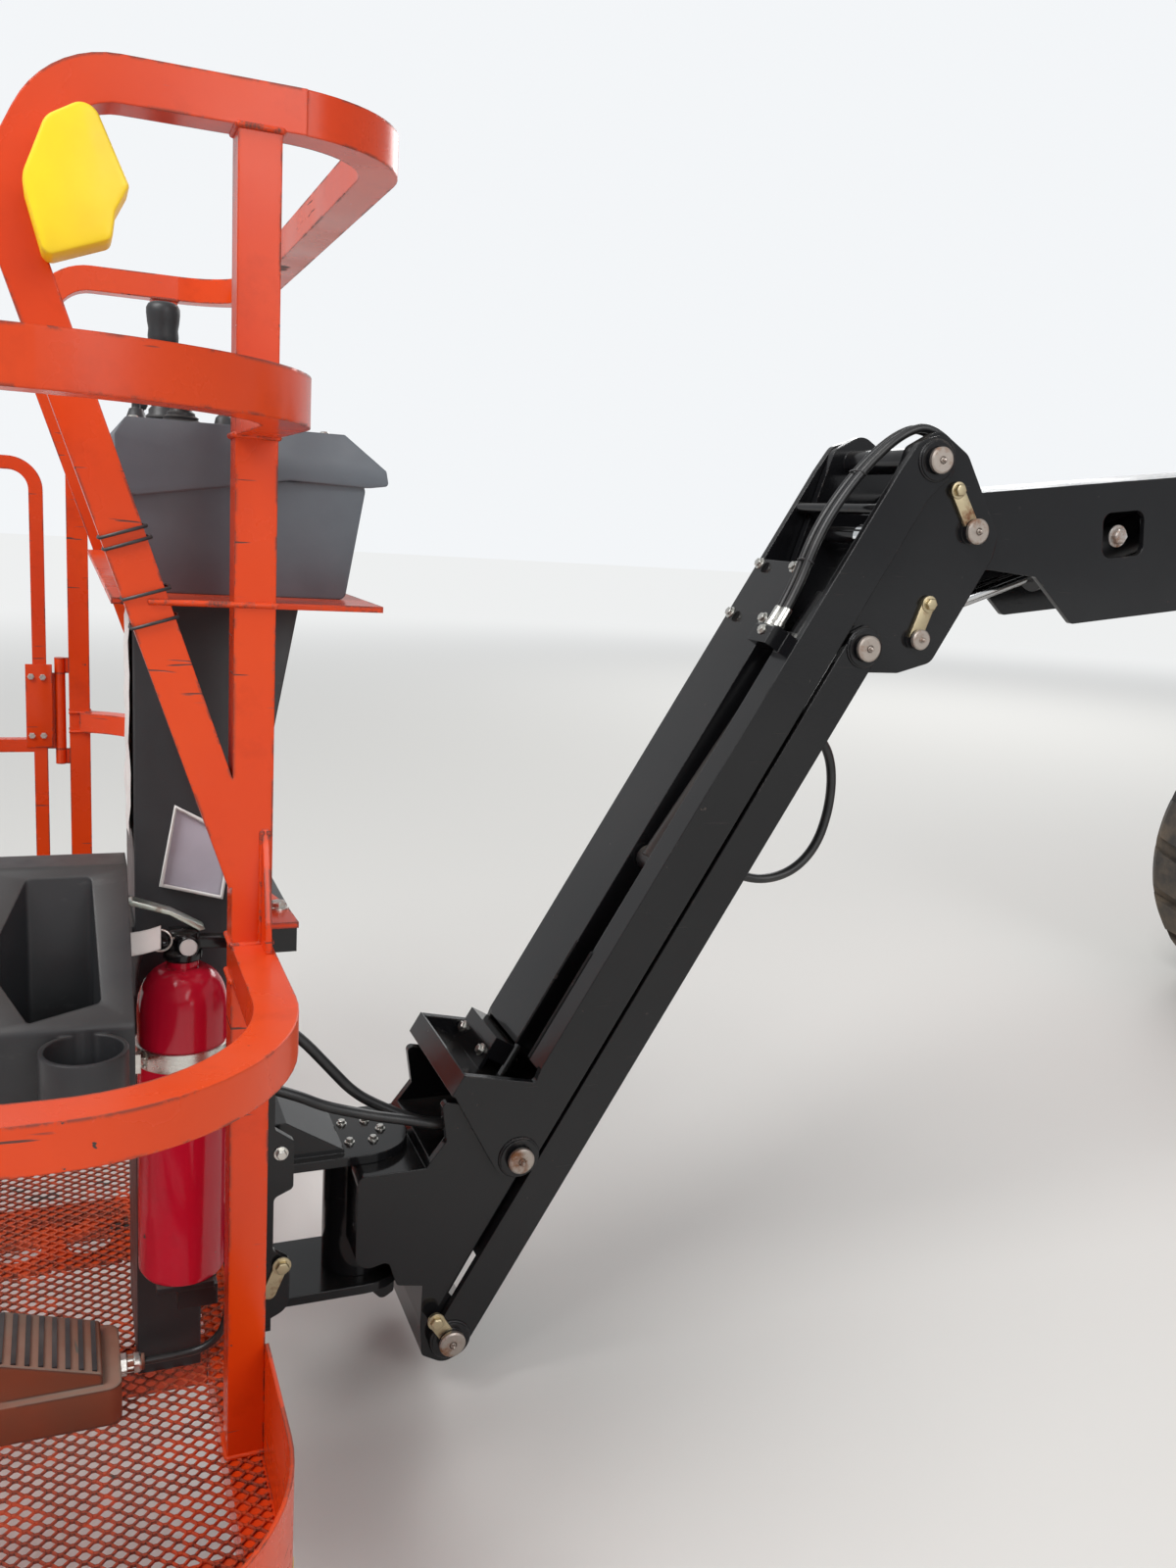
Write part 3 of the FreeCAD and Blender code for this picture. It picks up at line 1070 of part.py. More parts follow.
def cylinder(base, eye, y, r_barrel, r_rod, base_pin, closed, pivot, rise):
    """Barrel and rod at rest; the rod's inner end stays in the barrel when the eye has turned about its pivot."""
    d = unit(base, eye)
    off = V(0, y, 0)
    half = r_barrel + EYE_PROUD
    length = (eye - base).Length
    shortest = min(length, (turned(eye, pivot, rise) - base).Length)
    b = base + off
    barrel = rod(b, b + d * closed, r_barrel)
    lug = cross(base, r_barrel * 0.86, y - half, y + half)
    floor = r_barrel * 1.2
    bore = rod(b + d * floor, b + d * (closed + 1), r_rod + EYE_PROUD)
    body = fuse([barrel, lug]).cut(bore).cut(cross(base, base_pin + FIT, y - 200, y + 200))
    start = b + d * (floor + 10 + length - shortest)
    shaft = rod(start, eye + off, r_rod)
    head = cross(eye, r_rod * 1.45, y - half, y + half)
    return body, fuse([shaft, head])


NODES = {
    "chassis_frame": chassis_frame,
    "front_axle": front_axle,
    "track_rod": track_rod,
    "rear_axle": rear_axle,
    "slew_ring": slew_ring,
    "turntable_base": turntable_base,
    "counterweight": counterweight,
    "engine_block": engine_block,
    "fuel_tank": fuel_tank,
    "ground_panel": ground_panel,
    "tower_boom": tower_boom,
    "tower_link": tower_link,
    "upright": upright,
    "main_boom": main_boom,
    "fly_boom": fly_boom,
    "jib_knuckle": jib_knuckle,
    "jib_beam": jib_beam,
    "jib_link": jib_link,
    "platform_knuckle": platform_knuckle,
    "platform_support": platform_support,
    "platform_frame": platform_frame,
    "platform_floor": platform_floor,
    "toe_board": toe_board,
    "guard_frame": guard_frame,
    "console_box": console_box,
    "console_column": console_column,
    "control_levers": control_levers,
    "tool_tray": tool_tray,
    "extinguisher": extinguisher,
    "extinguisher_bracket": extinguisher_bracket,
    "foot_switch": foot_switch,
    "corner_pad": corner_pad,
    "gate": gate,
}

# columns: name, base pin, eye, y, barrel radius, rod radius, base pin radius, barrel's length, pivot, its turn
CYLINDERS = [
    ("tower_cylinder", TOWER_CYL_BASE, TOWER_CYL_EYE, 0.0, TOWER_CYL_R, 26.0, PIN_R, 820.0, TOWER_BASE, TOWER_RISE),
    ("lift_cylinder", LIFT_CYL_BASE, LIFT_CYL_EYE, 0.0, LIFT_CYL_R, 28.0, 24.0, 840.0, BOOM_PIVOT, -BOOM_RISE),
    ("level_cylinder", LEVEL_CYL_BASE, LEVEL_CYL_EYE, 0.0, LEVEL_CYL_R, 15.0, 16.0, 420.0, NOSE_PIVOT, BOOM_RISE),
    ("jib_cylinder", JIB_CYL_BASE, JIB_CYL_EYE, JIB_CYL_Y, JIB_CYL_R, 13.0, 12.0, 500.0, JIB_HIGH, JIB_RISE),
]


def build():
    """Every node of the machine by name."""
    made = {name: make() for name, make in NODES.items()}
    for side, tag in ((1, "left"), (-1, "right")):
        made["knuckle_" + tag] = steering_knuckle(side)
        made["hood_" + tag] = hood(side)
        for x, end in ((-AXLE_X, "front"), (AXLE_X, "rear")):
            made["tyre_%s_%s" % (end, tag)] = tyre(x, side)
            made["rim_%s_%s" % (end, tag)] = rim(x, side)
    for name, route, diameter in CORDS:
        made[name] = cord(name, route, diameter)
    for name, *sizes in CYLINDERS:
        barrel, shaft = cylinder(*sizes)
        made[name + "_barrel"] = barrel
        made[name + "_rod"] = shaft
    return made


os.makedirs(OUT, exist_ok=True)
for name, shape in build().items():
    shape.exportStep(os.path.join(OUT, name + ".step"))
    print(name, len(shape.Solids), "solid(s)", round(shape.Volume / 1e6, 2), "litres", shape.isValid())
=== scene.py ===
# %% [markdown]
# # An articulating boom lift, dressed for its portrait
#
# The machine arrives as a fixed frame of plain solids. This notebook gives it what the solids lack: paint with
# chips and dust, a see-through expanded-metal floor, hoses, moulded plastic, bolts and welds. Each cell builds
# one thing, and some cells print what they made. Everything is in metres, in the frame's own axes: +Z up, the
# work platform towards -X, and the ground at zero.

# %% Load the frame
import json
import math

import bmesh
import bpy
from mathutils import Matrix, Vector


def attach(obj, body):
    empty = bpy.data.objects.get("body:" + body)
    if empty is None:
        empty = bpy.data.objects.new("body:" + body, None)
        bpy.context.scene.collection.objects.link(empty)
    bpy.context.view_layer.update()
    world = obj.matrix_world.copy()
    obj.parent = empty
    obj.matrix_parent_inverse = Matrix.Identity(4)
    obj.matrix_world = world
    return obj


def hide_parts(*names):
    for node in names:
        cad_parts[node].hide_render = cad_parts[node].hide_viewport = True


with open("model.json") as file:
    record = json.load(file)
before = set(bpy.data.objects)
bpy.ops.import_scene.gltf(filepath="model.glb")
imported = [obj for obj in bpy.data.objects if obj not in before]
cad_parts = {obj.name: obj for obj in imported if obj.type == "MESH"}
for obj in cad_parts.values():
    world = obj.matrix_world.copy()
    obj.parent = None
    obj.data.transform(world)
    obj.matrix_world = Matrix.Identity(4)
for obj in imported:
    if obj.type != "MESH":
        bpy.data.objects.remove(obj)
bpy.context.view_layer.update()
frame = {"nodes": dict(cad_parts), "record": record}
scene = bpy.context.scene

# %% [markdown]
# ## The camera
#
# A photograph taken from eye height close to one end of a long machine has strong perspective, so the camera's
# place matters more than its lens. The values below are its place in metres and its heading, pitch and roll. The
# lens is written as the photograph's focal length in pixels, for a frame that is 1600 pixels tall.

# %% Camera
CAMERA_AT = Vector((-4.608, -1.796, 1.321))
HEADING = math.radians(22.815)     # to the right of +Y
PITCH = math.radians(11.453)       # downwards
ROLL = math.radians(3.713)
FOCAL_PX = 1300.96
FRAME_TALL_PX = 1600
SENSOR_MM = 36.0


def camera_axes():
    """Right, up and forward directions of the camera."""
    forward = Vector((math.sin(HEADING) * math.cos(PITCH), math.cos(HEADING) * math.cos(PITCH), -math.sin(PITCH)))
    level = Vector((math.cos(HEADING), -math.sin(HEADING), 0))
    upright = level.cross(forward)
    right = level * math.cos(ROLL) + upright * math.sin(ROLL)
    up = upright * math.cos(ROLL) - level * math.sin(ROLL)
    return right, up, forward


def add_camera():
    right, up, forward = camera_axes()
    data = bpy.data.cameras.new("camera")
    data.sensor_fit = "VERTICAL"
    data.sensor_height = SENSOR_MM
    data.lens = FOCAL_PX / FRAME_TALL_PX * SENSOR_MM
    data.clip_start = 0.05
    data.clip_end = 200
    camera = bpy.data.objects.new("camera", data)
    scene.collection.objects.link(camera)
    turn = Matrix((right, up, -forward)).transposed().to_4x4()
    camera.matrix_world = Matrix.Translation(CAMERA_AT) @ turn
    scene.camera = camera
    return camera


camera = add_camera()
print("lens", round(camera.data.lens, 2), "mm")

# %% [markdown]
# ## Light and ground
#
# A pale floor, a pale sky and three broad lamps show paint at about its written colour. The sky is white only
# where the camera, a mirror or glass looks at it, so that the metal has something bright to reflect.

# %% World, lamps and floor
SKY_FILL = 0.40
SKY_MIRRORED = 0.62
LAMPS = [
    # columns: name, place, aimed at, size in metres, power in watts
    ("key", (-9.0, -2.5, 7.5), (-3.0, 0.0, 0.8), 5.0, 640),
    ("side", (-1.0, -9.0, 5.0), (-2.5, 0.0, 0.9), 6.0, 330),
    ("back", (3.0, 8.0, 6.0), (-1.0, 0.0, 0.9), 6.0, 420),
]


FLOOR_COLOUR = (0.70, 0.69, 0.66)
FADE_FROM = 5.0
FADE_TO = 15.0


def add_world():
    world = bpy.data.worlds.new("studio sky")
    scene.world = world
    world.use_nodes = True
    nodes, links = world.node_tree.nodes, world.node_tree.links
    nodes.clear()
    rays = nodes.new("ShaderNodeLightPath")
    glossy = nodes.new("ShaderNodeMath")
    glossy.operation = "MAXIMUM"
    links.new(rays.outputs["Is Glossy Ray"], glossy.inputs[0])
    links.new(rays.outputs["Is Transmission Ray"], glossy.inputs[1])
    seen = nodes.new("ShaderNodeMath")
    seen.operation = "MAXIMUM"
    links.new(glossy.outputs[0], seen.inputs[0])
    links.new(rays.outputs["Is Camera Ray"], seen.inputs[1])
    fill = nodes.new("ShaderNodeBackground")
    fill.inputs["Color"].default_value = (0.93, 0.96, 1.0, 1)
    fill.inputs["Strength"].default_value = SKY_FILL
    bright = nodes.new("ShaderNodeBackground")
    bright.inputs["Color"].default_value = (0.90, 0.92, 0.94, 1)
    strength = nodes.new("ShaderNodeMapRange")
    strength.inputs[3].default_value = SKY_MIRRORED
    strength.inputs[4].default_value = 1.0
    links.new(rays.outputs["Is Camera Ray"], strength.inputs[0])
    links.new(strength.outputs[0], bright.inputs["Strength"])
    mix = nodes.new("ShaderNodeMixShader")
    links.new(seen.outputs[0], mix.inputs[0])
    links.new(fill.outputs[0], mix.inputs[1])
    links.new(bright.outputs[0], mix.inputs[2])
    out = nodes.new("ShaderNodeOutputWorld")
    links.new(mix.outputs[0], out.inputs["Surface"])


def add_lamp(name, place, target, size, power):
    data = bpy.data.lights.new(name, "AREA")
    data.shape = "DISK"
    data.size = size
    data.energy = power
    lamp = bpy.data.objects.new(name, data)
    scene.collection.objects.link(lamp)
    lamp.location = place
    lamp.rotation_euler = (Vector(target) - Vector(place)).to_track_quat("-Z", "Y").to_euler()


def add_floor():
    half = 40.0
    mesh = bpy.data.meshes.new("floor")
    mesh.from_pydata([(-half, -half, 0), (half, -half, 0), (half, half, 0), (-half, half, 0)], [], [(0, 1, 2, 3)])
    floor = bpy.data.objects.new("floor", mesh)
    scene.collection.objects.link(floor)
    material = bpy.data.materials.new("pale floor")
    material.use_nodes = True
    shader = material.node_tree.nodes["Principled BSDF"]
    shader.inputs["Base Color"].default_value = (*FLOOR_COLOUR, 1)
    shader.inputs["Roughness"].default_value = 0.85
    # beyond the lamps' reach the floor fades into the pale sky, for the camera and for mirrors only
    nodes, links = material.node_tree.nodes, material.node_tree.links
    place = nodes.new("ShaderNodeTexCoord")
    far = nodes.new("ShaderNodeVectorMath")
    far.operation = "LENGTH"
    fade = nodes.new("ShaderNodeMapRange")
    fade.interpolation_type = "SMOOTHSTEP"
    for index, value in ((1, FADE_FROM), (2, FADE_TO)):
        fade.inputs[index].default_value = value
    rays = nodes.new("ShaderNodeLightPath")
    seen = nodes.new("ShaderNodeMath")
    seen.operation = "MAXIMUM"
    share = nodes.new("ShaderNodeMath")
    share.operation = "MULTIPLY"
    glow = nodes.new("ShaderNodeEmission")
    glow.inputs["Color"].default_value = (0.86, 0.87, 0.87, 1)
    blend = nodes.new("ShaderNodeMixShader")
    for a, b in ((place.outputs["Object"], far.inputs[0]), (far.outputs["Value"], fade.inputs[0]),
                 (rays.outputs["Is Camera Ray"], seen.inputs[0]), (rays.outputs["Is Glossy Ray"], seen.inputs[1]),
                 (fade.outputs[0], share.inputs[0]), (seen.outputs[0], share.inputs[1]),
                 (share.outputs[0], blend.inputs[0]), (shader.outputs[0], blend.inputs[1]),
                 (glow.outputs[0], blend.inputs[2]),
                 (blend.outputs[0], nodes["Material Output"].inputs["Surface"])):
        links.new(a, b)
    mesh.materials.append(material)


add_world()
for lamp in LAMPS:
    add_lamp(*lamp)
add_floor()
scene.view_settings.view_transform = "Standard"
print("lamps", len(LAMPS))

# %% [markdown]
# ## A kit for finishes
#
# Every finish below is a small graph of shader nodes. The class keeps each graph short to write: one method adds
# one node and hands back its output. Patterns read Object coordinates, which stay put on a piece when it moves.
# Edge wear comes from the Bevel node: where its rounded normal leaves the true one, there is an edge close by.

# %% Finish kit


class Finish:
    """A material under construction."""

    def __init__(self, name):
        self.material = bpy.data.materials.new(name)
        self.material.use_nodes = True
        self.nodes = self.material.node_tree.nodes
        self.links = self.material.node_tree.links
        self.shader = self.nodes["Principled BSDF"]
        self.object_xyz = self.node("ShaderNodeTexCoord").outputs["Object"]

    def node(self, kind, inputs=(), **settings):
        made = self.nodes.new(kind)
        for key, value in settings.items():
            setattr(made, key, value)
        for key, value in dict(inputs).items():
            if isinstance(value, bpy.types.NodeSocket):
                self.links.new(value, made.inputs[key])
            else:
                made.inputs[key].default_value = value
        return made

    def noise(self, scale, detail=4.0, rough=0.55, distortion=0.0, stretch=None):
        xyz = self.object_xyz
        if stretch:
            xyz = self.node("ShaderNodeMapping", {"Vector": xyz, "Scale": stretch}).outputs[0]
        return self.node("ShaderNodeTexNoise", {"Vector": xyz, "Scale": scale, "Detail": detail, "Roughness": rough,
                                                "Distortion": distortion}).outputs["Fac"]

    def cells(self, scale, feature="F1", stretch=None):
        xyz = self.object_xyz
        if stretch:
            xyz = self.node("ShaderNodeMapping", {"Vector": xyz, "Scale": stretch}).outputs[0]
        return self.node("ShaderNodeTexVoronoi", {"Vector": xyz, "Scale": scale}, feature=feature).outputs["Distance"]

    def span(self, value, low, high, out_low=0.0, out_high=1.0):
        """Value between low and high, carried over to out_low and out_high and clamped there."""
        return self.node("ShaderNodeMapRange", {0: value, 1: low, 2: high, 3: out_low, 4: out_high}).outputs[0]

    def math(self, operation, a, b=0.0):
        return self.node("ShaderNodeMath", {0: a, 1: b}, operation=operation, use_clamp=False).outputs[0]

    def mix(self, factor, a, b):
        """Colour a where factor is 0, b where it is 1."""
        made = self.node("ShaderNodeMix", data_type="RGBA")
        for socket, value in ((made.inputs[0], factor), (made.inputs[6], a), (made.inputs[7], b)):
            if isinstance(value, bpy.types.NodeSocket):
                self.links.new(value, socket)
            elif socket is made.inputs[0]:
                socket.default_value = value
            else:
                socket.default_value = (*value[:3], 1)
        return made.outputs[2]

    def edges(self, radius, low=0.02, high=0.25):
        """1 along the outer edges of the piece, 0 on its flats."""
        soft = self.node("ShaderNodeBevel", {"Radius": radius}, samples=4).outputs["Normal"]
        true = self.node("ShaderNodeNewGeometry").outputs["True Normal"]
        same = self.node("ShaderNodeVectorMath", {0: soft, 1: true}, operation="DOT_PRODUCT").outputs["Value"]
        return self.span(self.math("SUBTRACT", 1.0, same), low, high)

    def facing_up(self, low=0.3, high=0.95):
        normal = self.node("ShaderNodeNewGeometry").outputs["Normal"]
        z = self.node("ShaderNodeSeparateXYZ", {0: normal}).outputs["Z"]
        return self.span(z, low, high)

    def height(self, low, high):
        """0 at the lower height in metres, 1 at the higher."""
        z = self.node("ShaderNodeSeparateXYZ", {0: self.object_xyz}).outputs["Z"]
        return self.span(z, low, high)

    def bump(self, height, strength, distance, below=None):
        inputs = {"Height": height, "Strength": strength, "Distance": distance}
        if below is not None:
            inputs["Normal"] = below
        return self.node("ShaderNodeBump", inputs).outputs[0]

    def rounded(self, radius):
        return self.node("ShaderNodeBevel", {"Radius": radius}, samples=4).outputs["Normal"]

    def set(self, **inputs):
        names = {"colour": "Base Color", "rough": "Roughness", "metal": "Metallic", "normal": "Normal",
                 "coat": "Coat Weight", "coat_rough": "Coat Roughness", "specular": "Specular IOR Level",
                 "sheen": "Sheen Weight", "emit": "Emission Color", "emit_strength": "Emission Strength"}
        for key, value in inputs.items():
            socket = self.shader.inputs[names[key]]
            if isinstance(value, bpy.types.NodeSocket):
                self.links.new(value, socket)
            elif key in ("colour", "emit"):
                socket.default_value = (*value[:3], 1)
            else:
                socket.default_value = value
        return self.material


# %% [markdown]
# ## Paint
#
# Machine paint is sprayed thick over welded steel. It is glossy where nobody touches it, dulled by hands and
# boots on the rails, chipped to dark primer along the edges, and dusty on everything that faces up.

# %% Paint
PRIMER = (0.045, 0.035, 0.03)
DUST = (0.42, 0.37, 0.30)


def paint(name, colour, gloss=0.28, chips=0.5, dust=0.35, faded=None, peel=0.00012):
    f = Finish(name)
    faded = faded or tuple(min(1.0, c * 1.25 + 0.01) for c in colour)
    cloud = f.noise(2.2, detail=5)
    tone = f.mix(f.span(cloud, 0.35, 0.7), colour, faded)
    stain = f.span(f.noise(9.0, detail=6, rough=0.65), 0.56, 0.72, 0.0, 0.35)
    tone = f.mix(stain, tone, tuple(c * 0.55 for c in colour))
    # chips sit on the edges, where a broad noise lets them through, and a few on the flats
    edge = f.edges(0.005, 0.01, 0.12)
    patch = f.span(f.noise(14.0, detail=8, rough=0.7), 0.60 - 0.12 * chips, 0.65 - 0.12 * chips)
    chipped = f.math("MULTIPLY", edge, patch)
    speck = f.span(f.noise(60.0, detail=4, rough=0.6), 0.735 - 0.02 * chips, 0.75 - 0.02 * chips)
    scratch = f.span(f.noise(16.0, detail=2, rough=0.5, stretch=(0.6, 0.6, 9.0)), 0.70, 0.72)
    worn = f.math("MAXIMUM", chipped, f.math("MAXIMUM", speck, f.math("MULTIPLY", scratch, chips)))
    tone = f.mix(worn, tone, PRIMER)
    settled = f.math("MULTIPLY", f.facing_up(), f.span(f.noise(5.0, detail=6), 0.35, 0.75, 0.0, dust))
    tone = f.mix(settled, tone, DUST)
    rough = f.math("ADD", f.span(f.noise(6.0, detail=6), 0.3, 0.75, gloss * 0.75, gloss * 1.6),
                   f.math("MULTIPLY", f.math("MAXIMUM", worn, settled), 0.35))
    orange_peel = f.bump(f.noise(240.0, detail=1), 0.35, peel, f.rounded(0.0025))
    dented = f.bump(f.math("SUBTRACT", 1.0, worn), 0.5, 0.0004, orange_peel)
    return f.set(colour=tone, rough=rough, normal=dented, specular=0.38)


# %% [markdown]
# ## Plastic, rubber and bare metal
#
# Moulded plastic has a fine leather-like grain and pale scuffs. Rubber is almost black and takes dust in its
# grooves. Bare steel pins are bright where they turn and brown where they don't.

# %% Plastic, rubber, metal


def plastic(name, colour, rough=0.5, scuff=(0.30, 0.30, 0.30), scuffs=0.35, dust=0.25):
    f = Finish(name)
    tone = f.mix(f.span(f.noise(7.0, detail=5), 0.35, 0.7), colour, tuple(c * 1.35 + 0.004 for c in colour))
    rub = f.math("MULTIPLY", f.edges(0.004), f.span(f.noise(18.0, detail=7, rough=0.7), 0.48, 0.62, 0.0, scuffs * 1.6))
    wipe = f.span(f.noise(11.0, detail=8, rough=0.75, stretch=(1, 1, 3)), 0.62, 0.74, 0.0, scuffs)
    tone = f.mix(f.math("MAXIMUM", rub, wipe), tone, scuff)
    settled = f.math("MULTIPLY", f.facing_up(), f.span(f.noise(6.0, detail=6), 0.35, 0.8, 0.0, dust))
    tone = f.mix(settled, tone, DUST)
    grain = f.bump(f.noise(420.0, detail=2), 0.4, 0.00012, f.rounded(0.003))
    return f.set(colour=tone, rough=f.span(f.noise(30.0), 0.3, 0.7, rough * 0.85, rough * 1.15), normal=grain)


def rubber(name, colour=(0.016, 0.016, 0.017), rough=0.45, dust=0.15):
    f = Finish(name)
    tone = f.mix(f.span(f.noise(25.0, detail=5), 0.4, 0.7), colour, tuple(c * 2.0 for c in colour))
    settled = f.math("MULTIPLY", f.facing_up(), f.span(f.noise(12.0, detail=6), 0.4, 0.8, 0.0, dust))
    tone = f.mix(settled, tone, DUST)
    return f.set(colour=tone, rough=rough, normal=f.bump(f.noise(300.0, detail=2), 0.3, 0.0001))


def hose_rubber(name):
    f = Finish(name)
    weave = f.node("ShaderNodeTexWave", {"Vector": f.object_xyz, "Scale": 170.0, "Distortion": 3.0, "Detail": 1.0},
                   bands_direction="DIAGONAL").outputs["Fac"]
    tone = f.mix(f.span(f.noise(30.0, detail=4), 0.4, 0.7), (0.010, 0.010, 0.011), (0.024, 0.023, 0.022))
    return f.set(colour=tone, rough=0.38, normal=f.bump(weave, 0.25, 0.0003))


def tyre_rubber(name):
    f = Finish(name)
    mud = f.span(f.noise(7.0, detail=8, rough=0.65), 0.38, 0.62)
    tone = f.mix(mud, (0.030, 0.027, 0.024), (0.135, 0.105, 0.075))
    scraped = f.math("MULTIPLY", f.edges(0.008), f.span(f.noise(20.0, detail=6), 0.45, 0.6))
    tone = f.mix(scraped, tone, (0.02, 0.02, 0.02))
    cracks = f.bump(f.noise(90.0, detail=6, rough=0.7), 0.5, 0.0012)
    return f.set(colour=tone, rough=f.span(mud, 0.0, 1.0, 0.62, 0.95), normal=cracks)


def steel(name, colour=(0.50, 0.49, 0.47), rough=0.34, rust=0.5, metal=1.0):
    f = Finish(name)
    patch = f.span(f.noise(22.0, detail=8, rough=0.7), 0.60 - 0.22 * rust, 0.72 - 0.18 * rust)
    tone = f.mix(patch, colour, (0.20, 0.085, 0.035))
    brushed = f.noise(60.0, detail=3, stretch=(1.0, 7.0, 7.0))
    return f.set(colour=tone, metal=f.span(patch, 0.0, 1.0, metal, metal * 0.25),
                 rough=f.math("ADD", f.span(brushed, 0.3, 0.7, rough * 0.8, rough * 1.25),
                              f.math("MULTIPLY", patch, 0.35)),
                 normal=f.bump(f.noise(150.0, detail=4), 0.25, 0.0003, f.rounded(0.0015)))


def chrome(name):
    f = Finish(name)
    film = f.span(f.noise(9.0, detail=6, stretch=(0.4, 1, 1)), 0.45, 0.75, 0.0, 0.4)
    tone = f.mix(film, (0.78, 0.79, 0.80), (0.35, 0.29, 0.21))
    return f.set(colour=tone, metal=1.0, rough=f.span(film, 0.0, 0.4, 0.07, 0.30))


finishes = {
    "orange_paint": paint("safety orange paint", (0.66, 0.045, 0.003), gloss=0.22, chips=0.9, dust=0.10,
                          faded=(0.74, 0.072, 0.007)),
    "floor_paint": paint("worn floor paint", (0.52, 0.042, 0.006), gloss=0.40, chips=1.3, dust=0.16,
                         faded=(0.60, 0.085, 0.02)),
    "grimy_orange": paint("grimy orange paint", (0.34, 0.050, 0.010), gloss=0.50, chips=1.4, dust=0.55,
                          faded=(0.10, 0.050, 0.028)),
    "black_paint": paint("gloss black paint", (0.006, 0.006, 0.007), gloss=0.13, chips=0.15, dust=0.06,
                         faded=(0.010, 0.010, 0.011)),
    "grey_paint": paint("dark grey chassis paint", (0.055, 0.058, 0.062), gloss=0.42, chips=0.6, dust=0.75),
    "cream_paint": paint("cream wheel paint", (0.56, 0.53, 0.46), gloss=0.38, chips=0.7, dust=0.6),
    "cylinder_paint": paint("black cylinder paint", (0.012, 0.012, 0.013), gloss=0.30, chips=0.3, dust=0.3),
    "red_paint": paint("extinguisher red", (0.60, 0.006, 0.030), gloss=0.12, chips=0.0, dust=0.05,
                       faded=(0.68, 0.010, 0.045), peel=0.00002),
    "cast_grey": paint("rough cast grey", (0.050, 0.052, 0.055), gloss=0.55, chips=0.3, dust=0.6, peel=0.0008),
    "tyre_rubber": tyre_rubber("dusty tyre rubber"),
    "chrome_rod": chrome("hard chrome"),
    "grey_plastic": plastic("console grey plastic", (0.092, 0.108, 0.126), rough=0.42, scuff=(0.22, 0.23, 0.24),
                            dust=0.12),
    "dark_plastic": plastic("charcoal plastic", (0.017, 0.018, 0.020), rough=0.46, scuff=(0.10, 0.10, 0.10),
                            dust=0.12),
    "black_rubber": rubber("black rubber"),
    "hose_rubber": hose_rubber("woven hose rubber"),
    "yellow_zinc": steel("yellow zinc plate", (0.50, 0.42, 0.27), rough=0.38, rust=0.30),
    "weathered_pin": steel("weathered pin steel", (0.40, 0.35, 0.31), rough=0.42, rust=0.42, metal=0.85),
    "white_card": plastic("white card", (0.62, 0.62, 0.60), rough=0.6, scuff=(0.40, 0.38, 0.34), dust=0.05),
    "lilac_plate": plastic("lilac-grey plate", (0.42, 0.40, 0.46), rough=0.35, scuff=(0.30, 0.28, 0.30), dust=0.05),
    "bellows_grey": plastic("grey-blue bellows", (0.115, 0.128, 0.140), rough=0.5, scuff=(0.2, 0.2, 0.2), dust=0.15),
    "dark_frame": paint("shadowed black frame", (0.010, 0.010, 0.011), gloss=0.40, chips=0.4, dust=0.35),
    "lever_green": steel("pale green lever", (0.52, 0.58, 0.52), rough=0.35, rust=0.05),
    "zinc": steel("zinc plate", (0.62, 0.61, 0.57), rough=0.30, rust=0.12),
    "yellow_plastic": plastic("yellow moulding", (0.84, 0.60, 0.010), rough=0.38, scuff=(0.50, 0.40, 0.10),
                              scuffs=0.25, dust=0.12),
    "bare_steel": steel("bare steel", rough=0.38, rust=0.55),
}
slot_of = {entry["node"]: entry["material_slot"] for entry in frame["record"]["subparts"]}
for name, node in frame["nodes"].items():
    node.data.materials.clear()
    node.data.materials.append(finishes[slot_of[name]])
print("finishes", len(finishes))

# %% [markdown]
# ## A kit for shapes
#
# Small parts are drawn into one mesh at a time with a handful of strokes: boxes, round bars, bolts, bent tubes,
# plates and turned profiles. Each mesh becomes one piece that rides on one body. Its origin stays at the frame's
# own, so a piece needs no placing. Faces are shaded smooth, with hard edges where they meet sharply.

# %% Shape kit


def side_axes(direction):
    """Two directions square to the first and to each other."""
    d = Vector(direction).normalized()
    a = Vector((0, 0, 1)) if abs(d.z) < 0.9 else Vector((1, 0, 0))
    u = d.cross(a).normalized()
    return u, d.cross(u).normalized()


